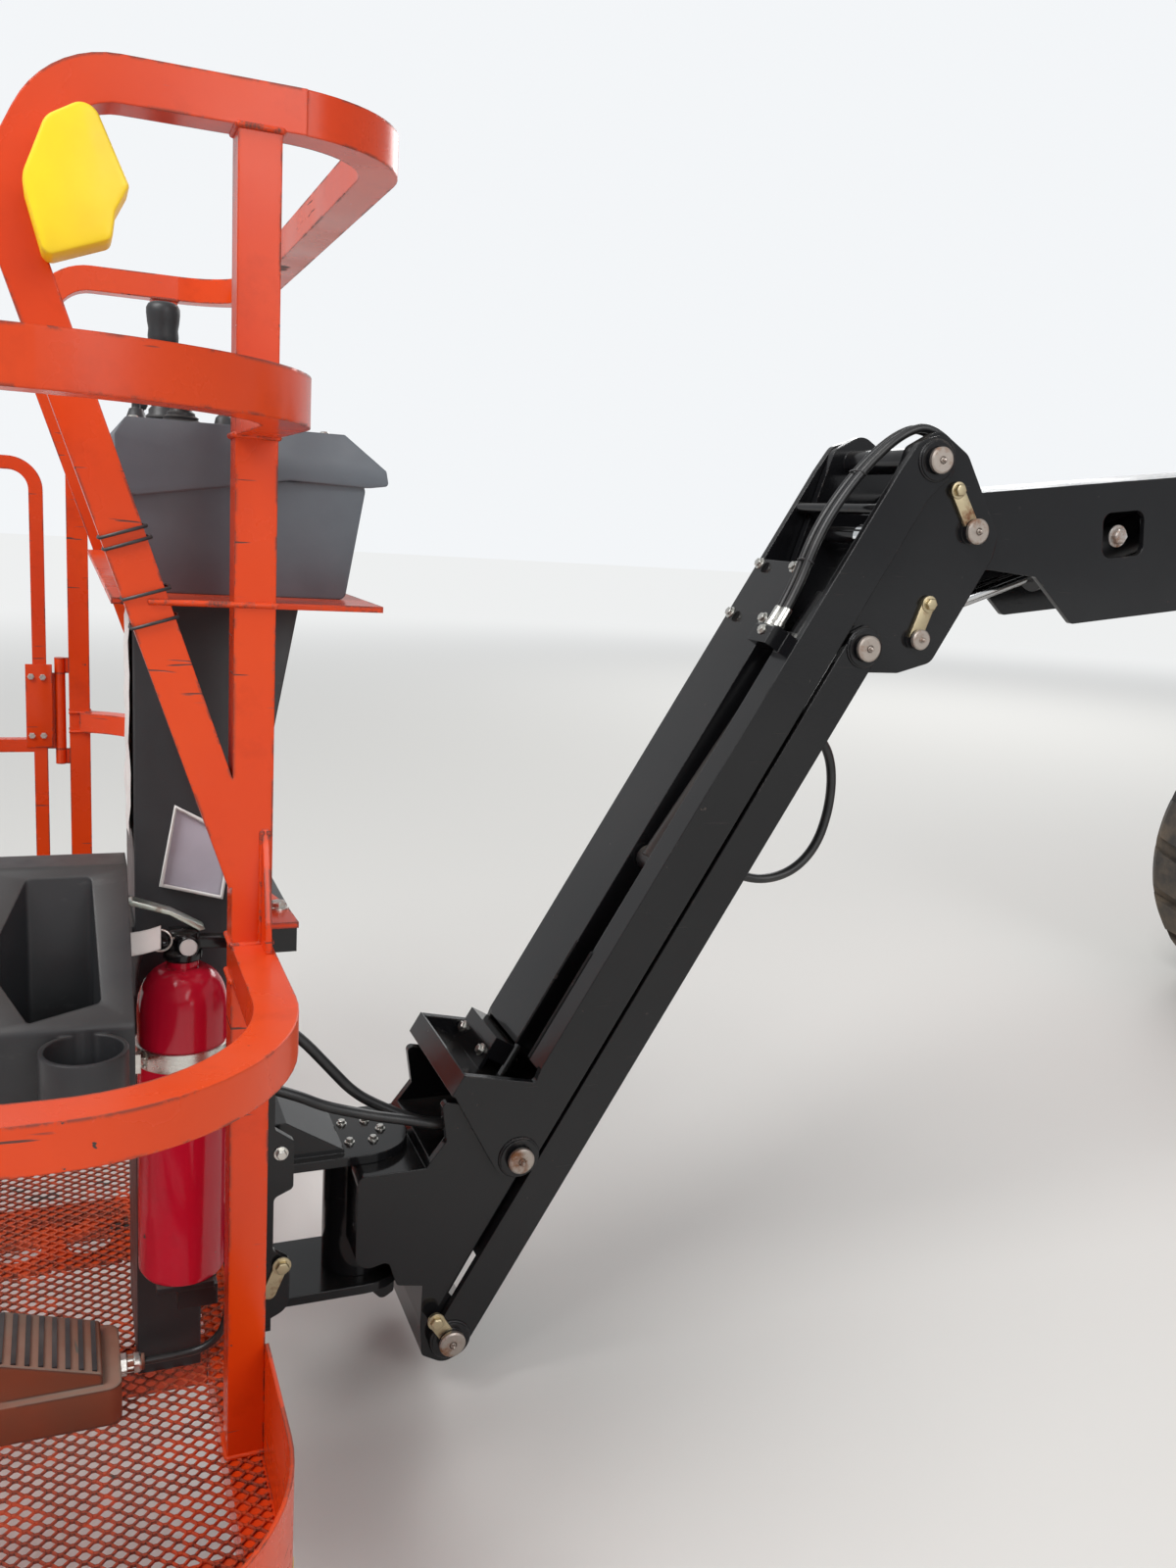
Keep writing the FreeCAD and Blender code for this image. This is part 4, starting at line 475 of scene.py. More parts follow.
class Shape:
    """A mesh under construction, in metres in the frame's axes."""

    def __init__(self):
        self.bm = bmesh.new()

    def grid(self, rings, close_ring=True, close_ends=True):
        """Skin over rings of points, each ring as long as the next."""
        rows = [[self.bm.verts.new(p) for p in ring] for ring in rings]
        n = len(rows[0])
        for low, high in zip(rows, rows[1:]):
            for i in range(n if close_ring else n - 1):
                j = (i + 1) % n
                self.bm.faces.new((low[i], low[j], high[j], high[i]))
        if close_ends and close_ring:
            self.bm.faces.new(rows[0][::-1])
            self.bm.faces.new(rows[-1])
        return self

    def box(self, x0, x1, y0, y1, z0, z1):
        xs, ys, zs = sorted((x0, x1)), sorted((y0, y1)), sorted((z0, z1))
        flat = [(xs[0], ys[0]), (xs[1], ys[0]), (xs[1], ys[1]), (xs[0], ys[1])]
        return self.grid([[(x, y, z) for x, y in flat] for z in zs])

    def rod(self, a, b, r0, r1=None, sides=24, turn=0.0):
        """Round bar or cone from a to b; six sides make a hexagon."""
        a, b = Vector(a), Vector(b)
        u, v = side_axes(b - a)
        rings = []
        for centre, r in ((a, r0), (b, r0 if r1 is None else r1)):
            angles = [turn + 2 * math.pi * i / sides for i in range(sides)]
            rings.append([centre + u * (r * math.cos(t)) + v * (r * math.sin(t)) for t in angles])
        return self.grid(rings)

    def turned(self, base, axis, profile, sides=32):
        """Lathe work: profile is a list of (radius, distance along the axis)."""
        base, d = Vector(base), Vector(axis).normalized()
        u, v = side_axes(d)
        rings = []
        for r, along in profile:
            angles = [2 * math.pi * i / sides for i in range(sides)]
            rings.append([base + d * along + (u * math.cos(t) + v * math.sin(t)) * max(r, 1e-5) for t in angles])
        return self.grid(rings)

    def bolt(self, at, normal, across=0.019, head=0.008, washer=True, shank=0.0):
        """Hexagon head on its washer, seated on the surface at a point."""
        at, n = Vector(at), Vector(normal).normalized()
        lift = 0.0
        if washer:
            self.rod(at - n * 0.001, at + n * 0.002, across * 0.78)
            lift = 0.002
        r = across / math.sqrt(3)
        self.rod(at + n * lift, at + n * (lift + head * 0.8), r, sides=6)
        self.rod(at + n * (lift + head * 0.8), at + n * (lift + head), r, r * 0.86, sides=6)
        if shank:
            self.rod(at + n * lift, at + n * (lift + head + shank), across * 0.33)
        return self

    def sweep(self, points, r, sides=10, closed=False):
        """Tube through points, its section carried along without twist; r may be a list."""
        pts = [Vector(p) for p in points]
        n = len(pts)
        radii = r if isinstance(r, (list, tuple)) else [r] * n
        ways = []
        for i in range(n):
            back = pts[i] - pts[i - 1] if i or closed else pts[1] - pts[0]
            ahead = pts[(i + 1) % n] - pts[i] if i < n - 1 or closed else pts[i] - pts[i - 1]
            ways.append((back.normalized() + ahead.normalized()).normalized())
        u = side_axes(ways[0])[0]
        rings = []
        for p, way, radius in zip(pts, ways, radii):
            u = (u - way * u.dot(way)).normalized()
            v = way.cross(u)
            angles = [2 * math.pi * i / sides for i in range(sides)]
            rings.append([p + u * (radius * math.cos(t)) + v * (radius * math.sin(t)) for t in angles])
        if closed:
            rings.append(rings[0])
        return self.grid(rings, close_ends=not closed)

    def prism(self, plane, points, w0, w1):
        """Flat outline in a plane, pushed from w0 to w1 along the third axis."""
        def put(u, v, w):
            return {"xz": (u, w, v), "yz": (w, u, v), "xy": (u, v, w)}[plane]
        return self.grid([[put(u, v, w) for u, v in points] for w in (w0, w1)])

    def plate(self, corners, thick):
        """Flat plate over four or more corners in one plane, thickened along their normal."""
        pts = [Vector(c) for c in corners]
        n = (pts[1] - pts[0]).cross(pts[2] - pts[0]).normalized() * thick
        return self.grid([pts, [p + n for p in pts]])

    def done(self, name, body, slot, finish=None, bevel=0.0, replaces=(), smooth=35):
        bm = self.bm
        bmesh.ops.remove_doubles(bm, verts=bm.verts, dist=1e-6)
        bmesh.ops.recalc_face_normals(bm, faces=bm.faces)
        if bevel:
            sharp = [e for e in bm.edges if len(e.link_faces) == 2 and e.calc_face_angle(0) > 0.5]
            bmesh.ops.bevel(bm, geom=sharp, offset=bevel, segments=2, profile=0.6, affect="EDGES", clamp_overlap=True)
        mesh = bpy.data.meshes.new(name)
        bm.to_mesh(mesh)
        bm.free()
        return add_piece(mesh, name, body, slot, finish, replaces, smooth)


def add_piece(mesh, name, body, slot, finish=None, replaces=(), smooth=35):
    """Object at the origin with its finish, riding on a body, perhaps in the place of CAD nodes."""
    piece = bpy.data.objects.new(name, mesh)
    scene.collection.objects.link(piece)
    mesh.materials.clear()
    mesh.materials.append(finishes[finish or slot])
    mesh.shade_smooth()
    mesh.set_sharp_from_angle(angle=math.radians(smooth))
    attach(piece, body)
    if replaces:
        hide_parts(*replaces)
    return piece


def softened(node, radius, finish=None, segments=2):
    """Copy of a CAD node with its sharp edges rounded over, which stands for the node."""
    mesh = frame["nodes"][node].data.copy()
    mesh.name = node + "_softened"
    bm = bmesh.new()
    bm.from_mesh(mesh)
    bmesh.ops.remove_doubles(bm, verts=bm.verts, dist=1e-5)
    bmesh.ops.dissolve_limit(bm, angle_limit=math.radians(2), verts=bm.verts, edges=bm.edges)
    sharp = [e for e in bm.edges if len(e.link_faces) == 2 and abs(e.calc_face_angle(0)) > 0.45]
    bmesh.ops.bevel(bm, geom=sharp, offset=radius, segments=segments, profile=0.6, affect="EDGES", clamp_overlap=True)
    bm.to_mesh(mesh)
    bm.free()
    home = next(b for b, names in frame["record"]["behaviour"]["bodies"].items() if node in names)
    return add_piece(mesh, node + "_moulding", home, slot_of[node], finish, replaces=[node])


# %% [markdown]
# ## Hoses and cables
#
# Every hose follows the route that the frame gives it. The route's points steer one smooth spline
# with a round section. Rubber hoses have a woven skin, seen as a fine diagonal bump.

# %% Hoses and the foot switch's cable


def on_jib(along, down, y=0.0):
    """Point beside the jib: millimetres along its upper member and down from it, and across the machine."""
    return (-3.98 + (along * 0.498403 + down * 0.866942) / 1000, y / 1000,
            0.377 + (along * 0.866942 - down * 0.498403) / 1000)


def on_link(along, down, y=0.0):
    x, _, z = on_jib(along, down)
    return (x - 0.095, y / 1000, z - 0.290)


def millimetres(points):
    return [tuple(c / 1000 for c in p) for p in points]


JIB_HOSE = [(898, -60, -50), (960, -60, -50), (1051, -79, -50), (1130, -77, -49), (1200, -66, -52), (1258, -48, -58),
            (1294, -18, -64), (1291, 24, -66)]
LOOP = [(1110, 55, 0), (1110, 100, 0), (1082, 150, 4), (1020, 188, 2), (945, 203, -3), (880, 178, -5), (838, 115, 0),
        (838, 55, 0)]
CORDS = [
    # columns: node, body, diameter, route, length of its solid
    ("foot_cable", "platform", 0.009, millimetres([
        (-4534, -420, 350), (-4496, -420, 350), (-4466, -424, 356), (-4447, -428, 378), (-4442, -430, 412),
        (-4441, -428, 466), (-4443, -426, 532), (-4446, -423, 610), (-4443, -424, 695), (-4443, -424, 759.9)]), 0.479),
    ("low_hose_a", "platform_knuckle", 0.016, millimetres([
        (-4376, -45, 618), (-4338, -46, 601), (-4297, -50, 568), (-4257, -52, 521), (-4219, -50, 475),
        (-4177, -48, 447), (-4134, -50, 424), (-4090, -50, 408), (-4050, -50, 408)]), 0.401),
    ("low_hose_b", "platform_knuckle", 0.016, millimetres([
        (-4360, -80, 516), (-4307, -81, 495), (-4272, -80, 475), (-4236, -78, 461), (-4190, -79, 447),
        (-4140, -80, 435), (-4095, -78, 420), (-4050, -78, 420)]), 0.327),
    ("jib_hose_near", "jib", 0.014, [on_jib(a, d, y - 22) for a, d, y in JIB_HOSE], 0.451),
    ("jib_hose_far", "jib", 0.014, [on_jib(a, d + 2, y) for a, d, y in JIB_HOSE], 0.451),
    ("loop_hose", "jib_link", 0.016, [on_link(a, d, y) for a, d, y in LOOP], 0.449),
]


def add_cord(node, body, diameter, route, length):
    curve = bpy.data.curves.new(node + "_skin", "CURVE")
    curve.dimensions = "3D"
    curve.bevel_depth = diameter / 2
    curve.bevel_resolution = 4
    curve.resolution_u = 16
    curve.use_fill_caps = True
    spline = curve.splines.new("NURBS")
    spline.points.add(len(route) - 1)
    for point, place in zip(spline.points, route):
        point.co = (*place, 1)
    spline.order_u = 3
    spline.use_endpoint_u = True
    curve.materials.append(finishes["hose_rubber"])
    piece = bpy.data.objects.new(node + "_skin", curve)
    scene.collection.objects.link(piece)
    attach(piece, body)
    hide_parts(node)
    return piece


for row in CORDS:
    add_cord(*row)
# clips that hold the two jib hoses together, and the fittings at the hoses' ends
clips = Shape()
fittings = Shape()
for along, down in ((1010, -69), (1170, -70)):
    ring = [on_jib(along, down + 8.6 * math.sin(t), -61 + 19.6 * math.cos(t)) for t in
            [2 * math.pi * i / 20 for i in range(20)]]
    clips.sweep(ring, 0.0016, sides=6, closed=True)
for y in (-72, -50):
    fittings.turned(on_jib(896, -59, y), Vector(on_jib(930, -59, y)) - Vector(on_jib(896, -59, y)),
                    [(0.010, 0), (0.010, 0.010), (0.0085, 0.011), (0.0085, 0.034), (0.0075, 0.036)])
clips.done("jib_hose_ties", "jib", "black_rubber")
fittings.done("jib_hose_ferrules", "jib", "black_paint", "zinc")
ferrules = Shape()
for (x, y, z) in ((-4.050, -0.050, 0.408), (-4.050, -0.078, 0.420)):
    ferrules.turned((x, y, z), (-1, 0, 0), [(0.0115, 0), (0.0115, 0.008), (0.0098, 0.009), (0.0098, 0.030), (0.008, 0.032)])
ferrules.done("low_hose_ferrules", "platform_knuckle", "black_paint", "zinc")
sleeves = Shape()
for start, ahead in (((-4376, -45, 618), (-4338, -46, 601)), ((-4360, -80, 516), (-4307, -81, 495))):
    a, b = Vector(start) / 1000, Vector(ahead) / 1000
    way = (b - a).normalized()
    back = a - way * ((a.x + 4.393) / way.x)
    sleeves.turned(back, way, [(0.013, 0), (0.013, 0.006), (0.0105, 0.007), (0.0105, (a - back).length - 0.003)])
sleeves.done("support_hose_fittings", "platform", "black_paint", "zinc")
loop_ends = Shape()
for along in (1110, 838):
    loop_ends.turned(on_link(along, 29), Vector(on_link(along, 40)) - Vector(on_link(along, 29)),
                     [(0.0125, 0), (0.0125, 0.010), (0.0098, 0.011), (0.0098, 0.042), (0.0085, 0.044)], sides=6)
loop_ends.done("loop_hose_fittings", "jib_link", "black_paint", "zinc")
print("cords", len(CORDS))

# %% [markdown]
# ## The platform's floor
#
# The operator stands on expanded metal: a sheet that was slit and pulled open into six-sided holes. Its strands
# meet at short bonds, and each bond with its four half strands repeats over the whole floor, so a node graph
# places one bond at every point of a list and joins the copies. Under the sheet run the cross-members and a plate
# with round holes.

# %% Expanded-metal floor
MESH_LONG = 0.0215
MESH_SHORT = 0.0165
STRAND = 0.0023
BOND = 0.0056
SHEET_LOW = 0.3172
SHEET_TOP = 0.3200
FLOOR_X = (-5.183, -4.421)
FLOOR_Y = 0.915
FLOOR_CORNER = 0.199


def bond_mesh():
    """One bond and its four half strands, centred on the origin; their ends meet the next bonds'."""
    shape = Shape()

    def strip(a, b, width):
        a, b = Vector((*a, 0)), Vector((*b, 0))
        side = Vector((-(b - a).y, (b - a).x, 0)).normalized() * (width / 2)
        drop = Vector((0, 0, SHEET_LOW - SHEET_TOP))
        shape.grid([[a - side + drop, a - side, a + side, a + side + drop],
                    [b - side + drop, b - side, b + side, b + side + drop]], close_ends=False)
    strip((-BOND / 2, 0), (BOND / 2, 0), STRAND * 1.7)
    for sx in (-1, 1):
        for sy in (-1, 1):
            strip((sx * (BOND / 2 - 0.0006), sy * STRAND * 0.3), (sx * MESH_LONG / 4, sy * MESH_SHORT / 4), STRAND)
    mesh = bpy.data.meshes.new("bond")
    shape.bm.to_mesh(mesh)
    shape.bm.free()
    return mesh


def inside_floor(x, y, inset):
    """Whether a point is on the sheet, this far inside its rounded outline."""
    dx = max(FLOOR_X[0] + FLOOR_CORNER - x, x - FLOOR_X[1] + FLOOR_CORNER, 0)
    dy = max(abs(y) - FLOOR_Y + FLOOR_CORNER, 0)
    if dx and dy:
        return math.hypot(dx, dy) < FLOOR_CORNER - inset
    return FLOOR_X[0] + inset < x < FLOOR_X[1] - inset and abs(y) < FLOOR_Y - inset


def repeated(name, points, unit, material, aims=None, size=1.0):
    """Copies of a unit mesh at points, each with its Z along its aim, joined into one plain mesh by a node graph."""
    cloud = bpy.data.meshes.new(name + "_points")
    cloud.from_pydata([tuple(p) for p in points], [], [])
    attribute = cloud.attributes.new("aim", "FLOAT_VECTOR", "POINT")
    for i in range(len(points)):
        attribute.data[i].vector = aims[i] if aims else (0, 0, 1)
    holder = bpy.data.objects.new(name, cloud)
    scene.collection.objects.link(holder)
    source = bpy.data.objects.new(name + "_unit", unit)
    scene.collection.objects.link(source)
    tree = bpy.data.node_groups.new(name + "_repeat", "GeometryNodeTree")
    tree.interface.new_socket("Geometry", in_out="INPUT", socket_type="NodeSocketGeometry")
    size_socket = tree.interface.new_socket("Size", in_out="INPUT", socket_type="NodeSocketFloat")
    tree.interface.new_socket("Geometry", in_out="OUTPUT", socket_type="NodeSocketGeometry")
    start, end = tree.nodes.new("NodeGroupInput"), tree.nodes.new("NodeGroupOutput")
    to_points = tree.nodes.new("GeometryNodeMeshToPoints")
    aim = tree.nodes.new("GeometryNodeInputNamedAttribute")
    aim.data_type = "FLOAT_VECTOR"
    aim.inputs["Name"].default_value = "aim"
    turn = tree.nodes.new("FunctionNodeAlignRotationToVector")
    turn.axis = "Z"
    info = tree.nodes.new("GeometryNodeObjectInfo")
    info.inputs["Object"].default_value = source
    place = tree.nodes.new("GeometryNodeInstanceOnPoints")
    real = tree.nodes.new("GeometryNodeRealizeInstances")
    dress = tree.nodes.new("GeometryNodeSetMaterial")
    dress.inputs["Material"].default_value = material
    for source_socket, target in ((start.outputs["Geometry"], to_points.inputs["Mesh"]),
                                  (to_points.outputs[0], place.inputs["Points"]),
                                  (info.outputs["Geometry"], place.inputs["Instance"]),
                                  (aim.outputs[0], turn.inputs["Vector"]),
                                  (turn.outputs[0], place.inputs["Rotation"]),
                                  (start.outputs["Size"], place.inputs["Scale"]),
                                  (place.outputs[0], real.inputs[0]), (real.outputs[0], dress.inputs["Geometry"]),
                                  (dress.outputs[0], end.inputs[0])):
        tree.links.new(source_socket, target)
    modifier = holder.modifiers.new("repeat", "NODES")
    modifier.node_group = tree
    modifier[size_socket.identifier] = float(size)
    bpy.context.view_layer.update()
    graph = bpy.context.evaluated_depsgraph_get()
    mesh = bpy.data.meshes.new_from_object(holder.evaluated_get(graph))
    holder.modifiers.remove(modifier)
    bpy.data.objects.remove(holder)
    bpy.data.objects.remove(source)
    mesh.name = name
    if "aim" in mesh.attributes:
        mesh.attributes.remove(mesh.attributes["aim"])
    return mesh


POST_SQUARES = [(-5.164, y) for y in (-0.69, 0.0, 0.69)] + [(-4.577, 0.896), (-5.040, 0.896), (-4.962, -0.896)]


def bond_points():
    points = []
    rows = int(2 * FLOOR_Y / (MESH_SHORT / 2)) + 1
    columns = int((FLOOR_X[1] - FLOOR_X[0]) / MESH_LONG) + 1
    for row in range(rows):
        y = -FLOOR_Y + row * MESH_SHORT / 2
        for column in range(columns):
            x = FLOOR_X[0] + (column + 0.5 * (row % 2)) * MESH_LONG
            clear = all(abs(x - px) > 0.021 or abs(y - py) > 0.021 for px, py in POST_SQUARES)
            if clear and inside_floor(x, y, 0.006):
                points.append((x, y, SHEET_TOP))
    return points


# two sheets side by side, as the floor is laid
for side, name in ((-1, "expanded_sheet_near"), (1, "expanded_sheet_far")):
    points = [p for p in bond_points() if (p[1] >= 0) == (side > 0)]
    sheet = add_piece(repeated(name, points, bond_mesh(), finishes["floor_paint"]), name, "platform", "orange_paint",
                      "floor_paint", replaces=["platform_floor"] if side < 0 else [], smooth=60)
beams = Shape()
for i in range(5):
    y = -0.72 + 0.36 * i
    # an open channel under the sheet, its web on top
    beams.box(-5.1445, -4.4595, y - 0.020, y + 0.020, 0.3135, 0.3165)
    for side in (-1, 1):
        beams.box(-5.1445, -4.4595, y + side * 0.020, y + side * 0.017, 0.276, 0.3135)
beams.done("floor_cross_members", "platform", "orange_paint", "floor_paint")


def holed_plate(x0, x1, y0, y1, z0, z1, holes, radius):
    """Plate with a row of round holes: a quarter ring of faces round each, cell by cell."""
    shape = Shape()
    edges = sorted(holes)
    cuts = [x0] + [(a + b) / 2 for a, b in zip(edges, edges[1:])] + [x1]
    yc = (y0 + y1) / 2
    for hole, left, right in zip(edges, cuts, cuts[1:]):
        ring = [2 * math.pi * i / 32 for i in range(32)]
        rim = [(hole + radius * math.cos(t), yc + radius * math.sin(t)) for t in ring]
        far = []
        for t in ring:
            c, s = math.cos(t), math.sin(t)
            reach = min((right - hole if c > 0 else hole - left) / max(abs(c), 1e-6),
                        (y1 - yc if s > 0 else yc - y0) / max(abs(s), 1e-6))
            far.append((hole + reach * c, yc + reach * s))
        loops = [[(x, y, z1) for x, y in rim], [(x, y, z1) for x, y in far], [(x, y, z0) for x, y in far],
                 [(x, y, z0) for x, y in rim], [(x, y, z1) for x, y in rim]]
        shape.grid(loops, close_ends=False)
    return shape


HOLES = [-4.500 - 0.0875 * i for i in range(8)]
holed_plate(-5.1445, -4.4595, -0.150, -0.030, 0.3135, 0.3165, HOLES, 0.028).done(
    "floor_holed_plate", "platform", "orange_paint", "floor_paint")
print("bonds", len(points), "faces", len(sheet.data.polygons))

# %% [markdown]
# ## Pins, keepers and bolts
#
# Each joint of the stowed boom turns on a fat pin. A pin can't creep out, because a small bar welded to its end is
# bolted to the plate beside it. The bars are yellow zinc plated, and the pin ends have gone brown in the rain.

# %% Pins, keepers and bolts
BEAM_FACE = 0.1265            # outer face of the jib's side plates
LONG_PIN = 0.1415             # where the pins of those plates end
KNUCKLE_FACE = 0.112          # outer face of the upper knuckle's plates
SHORT_PIN = 0.127             # where its own pins end
body_of = {node: body for body, names in frame["record"]["behaviour"]["bodies"].items() for node in names}
jib_up = (Vector(on_jib(0, -1)) - Vector(on_jib(0, 0))).normalized()


def pin_end(shape, x, z, y, radius, side):
    """Turned end of a pin: a chamfered disc with a dimple, and a grease nipple in it."""
    shape.turned((x, side * (y - 0.001), z), (0, side, 0),
                 [(radius * 1.01, -0.004), (radius * 1.01, 0.0016), (radius * 0.88, 0.0036), (radius * 0.30, 0.0036),
                  (radius * 0.24, 0.0012), (0.0001, 0.0010)])
    shape.turned((x, side * (y - 0.001), z), (0, side, 0),
                 [(0.0044, 0), (0.0044, 0.004), (0.0028, 0.0045), (0.0028, 0.008), (0.0036, 0.009), (0.002, 0.012)],
                 sides=12)


def keeper(shape, pin, bolt, y, side, width=0.024, thick=0.006):
    """Bar with round ends from a pin to its bolt, lying on the faces at y."""
    (px, pz), (bx, bz) = pin, bolt
    way = math.atan2(bz - pz, bx - px)
    outline = []
    for (cx, cz), start in ((bolt, way - math.pi / 2), (pin, way + math.pi / 2)):
        for i in range(9):
            t = start + math.pi * i / 8
            outline.append((cx + width / 2 * math.cos(t), cz + width / 2 * math.sin(t)))
    shape.prism("xz", outline, side * y, side * (y + thick))
    shape.bolt((bx, side * (y + thick), bz), (0, side, 0), across=0.017, head=0.008)


PINS = [
    # columns: node that the pin belongs to, x, z, where it ends in y, radius
    ("jib_knuckle", -3.362, 1.452, LONG_PIN, 0.020), ("jib_knuckle", -3.457, 1.162, LONG_PIN, 0.020),
    ("jib_knuckle", -3.267, 1.350, SHORT_PIN, 0.020), ("jib_knuckle", -3.352, 1.177, SHORT_PIN, 0.016),
    ("platform_knuckle", -3.980, 0.377, LONG_PIN, 0.020), ("jib_link", -4.075, 0.087, LONG_PIN, 0.020),
]
for node in ("jib_knuckle", "platform_knuckle", "jib_link"):
    ends = Shape()
    for home, x, z, y, r in PINS:
        if home == node:
            pin_end(ends, x, z, y, r, -1)
            pin_end(ends, x, z, y, r, 1)
    ends.done(node + "_pin_ends", body_of[node], "bare_steel", "weathered_pin", smooth=30)
KEEPERS = [
    # columns: node, pin's x and z, bolt's x and z, y of the face the bar lies on
    ("jib_knuckle", (-3.267, 1.350), (-3.308, 1.411), KNUCKLE_FACE), ("jib_knuckle", (-3.356, 1.181), (-3.338, 1.233),
                                                                     KNUCKLE_FACE),
    ("jib_link", (-4.075, 0.087), (-4.100, 0.125), BEAM_FACE),
]
for i, (node, pin, bolt, face) in enumerate(KEEPERS):
    bars = Shape()
    for side in (-1, 1):
        keeper(bars, pin, bolt, face, side)
    bars.done("pin_keeper_%d" % i, body_of[node], "zinc", "yellow_zinc", bevel=0.0006)
jib_bolts = Shape()
for along, down, y in ((1008, -51, -6), (1008, -51, 104), (912, -51, 104), (912, -51, -6), (92, -80, 7),
                       (92, -80, 104)):
    jib_bolts.bolt(on_jib(along, down, y), jib_up, across=0.013, head=0.006)
jib_bolts.bolt(on_jib(884, -74, -63), jib_up, across=0.011, head=0.004)
jib_bolts.done("jib_lid_bolts", "jib", "zinc")
support_bolts = Shape()
for side in (-1, 1):
    support_bolts.bolt((-4.336, side * 0.130, 0.434), (0, side, 0), across=0.013, head=0.007)
    support_bolts.bolt((-4.362, side * 0.130, 0.640), (0, side, 0), across=0.013, head=0.007)
    support_bolts.bolt((-4.390, side * 0.130, 0.830), (0, side, 0), across=0.013, head=0.007)
for y in (-0.52, -0.41, 0.41, 0.52):
    support_bolts.bolt((-4.407, y, 0.916 if abs(y) > 0.45 else 0.910), (0, 0, 1), across=0.013, head=0.006)
for z in (0.17, 0.385):
    ring = [2 * math.pi * i / 6 for i in range(6)]
    for t in ring:
        if math.cos(t) > -0.9:
            support_bolts.bolt((-4.200 + 0.036 * math.cos(t), 0.036 * math.sin(t), z), (0, 0, 1 if z > 0.3 else -1),
                               across=0.010, head=0.005)
support_bolts.done("support_bolts", "platform", "zinc", smooth=30)
lug = Shape()
for side in (-1, 1):
    keeper(lug, (-4.350, 0.221), (-4.333, 0.262), 0.130, side, width=0.019, thick=0.005)
lug.done("support_keepers", "platform", "zinc", "yellow_zinc", bevel=0.0006)

# %% [markdown]
# ## The fire extinguisher
#
# It hangs on the console's column: a deep-drawn red bottle, a black valve with a carrying handle and a squeeze
# lever, a pull ring with a blank tag, and a short hose down its side. A silver band with a spring clip holds it.

# %% Extinguisher
EXT = (-4.495, -0.455)
EXT_FOOT = 0.487


def on_bottle(dx, dy, z):
    return (EXT[0] + dx, EXT[1] + dy, z)


bottle = Shape()
crown = [(0.0465 * math.cos(t) ** 0.62, 0.790 - EXT_FOOT + 0.050 * math.sin(t)) for t in
         [math.radians(a) for a in (0, 10, 20, 30, 40, 50, 60, 70, 76)]]
bottle.turned((*EXT, EXT_FOOT), (0, 0, 1), [(0.034, 0.006), (0.036, 0.001), (0.0425, 0.0), (0.0465, 0.007)] + crown +
              [(0.0165, 0.350), (0.0165, 0.362)], sides=64)
bottle.done("extinguisher_bottle", "platform", "red_paint", replaces=["extinguisher"], smooth=50)
valve = Shape()
valve.turned((*EXT, 0.846), (0, 0, 1), [(0.019, 0), (0.020, 0.002), (0.020, 0.009), (0.015, 0.011), (0.0135, 0.016),
                                        (0.0135, 0.022), (0.0165, 0.024), (0.0165, 0.030), (0.0125, 0.032)], sides=32)
valve.box(EXT[0] - 0.014, EXT[0] + 0.016, EXT[1] - 0.0085, EXT[1] + 0.0085, 0.858, 0.879)
valve.prism("xz", [(EXT[0] + 0.006, 0.859), (EXT[0] + 0.052, 0.8565), (EXT[0] + 0.063, 0.852), (EXT[0] + 0.065, 0.857),
                   (EXT[0] + 0.056, 0.868), (EXT[0] + 0.006, 0.871)], EXT[1] - 0.0088, EXT[1] + 0.0088)
valve.turned(on_bottle(0.004, -0.0085, 0.8635), (0, -1, 0), [(0.0115, 0), (0.0115, 0.009), (0.0095, 0.0105)], sides=24)
valve.turned(on_bottle(-0.013, 0.0, 0.864), (-1, 0, 0), [(0.0065, 0), (0.0065, 0.008), (0.0085, 0.009), (0.0085, 0.018),
                                                         (0.006, 0.020)], sides=16)
valve.done("extinguisher_valve", "platform", "black_paint", bevel=0.0010)
gauge = Shape()
gauge.turned(on_bottle(0.004, -0.0185, 0.8635), (0, -1, 0), [(0.0092, 0), (0.0092, 0.0006), (0.0088, 0.0012)], sides=24)
gauge.done("extinguisher_gauge", "platform", "zinc", "white_card")
lever = Shape()
lever.prism("xz", [(EXT[0] - 0.055, 0.9125), (EXT[0] - 0.050, 0.9145), (EXT[0] - 0.012, 0.9010), (EXT[0] + 0.020, 0.8825),
                   (EXT[0] + 0.022, 0.8790), (EXT[0] + 0.016, 0.8775), (EXT[0] - 0.014, 0.8965), (EXT[0] - 0.052, 0.9085)],
            EXT[1] - 0.0085, EXT[1] + 0.0085)
lever.done("extinguisher_lever", "platform", "zinc", "lever_green", bevel=0.0012)
hose = Shape()
hose.sweep([on_bottle(*p) for p in ((-0.032, 0, 0.864), (-0.040, -0.001, 0.862), (-0.0465, -0.003, 0.854),
                                    (-0.050, -0.006, 0.840), (-0.0525, -0.009, 0.820), (-0.0535, -0.012, 0.800),
                                    (-0.0540, -0.015, 0.772))], [0.0062] * 6 + [0.0072], sides=14)
hose.done("extinguisher_hose", "platform", "black_rubber", "hose_rubber", smooth=60)
ring = Shape()
centre = Vector(on_bottle(-0.024, -0.015, 0.872))
ring.sweep([centre + Vector((0.0115 * math.cos(t), -0.002 * math.cos(t), 0.0115 * math.sin(t))) for t in
            [2 * math.pi * i / 28 for i in range(28)]], 0.0013, sides=8, closed=True)
ring.sweep([centre + Vector((0.0115, 0.0, 0.0)), centre + Vector((0.018, 0.006, 0.003)),
            centre + Vector((0.024, 0.014, 0.006))], 0.0015, sides=8)
ring.done("extinguisher_pull_ring", "platform", "zinc", smooth=60)
tag = Shape()
tag_rows = []
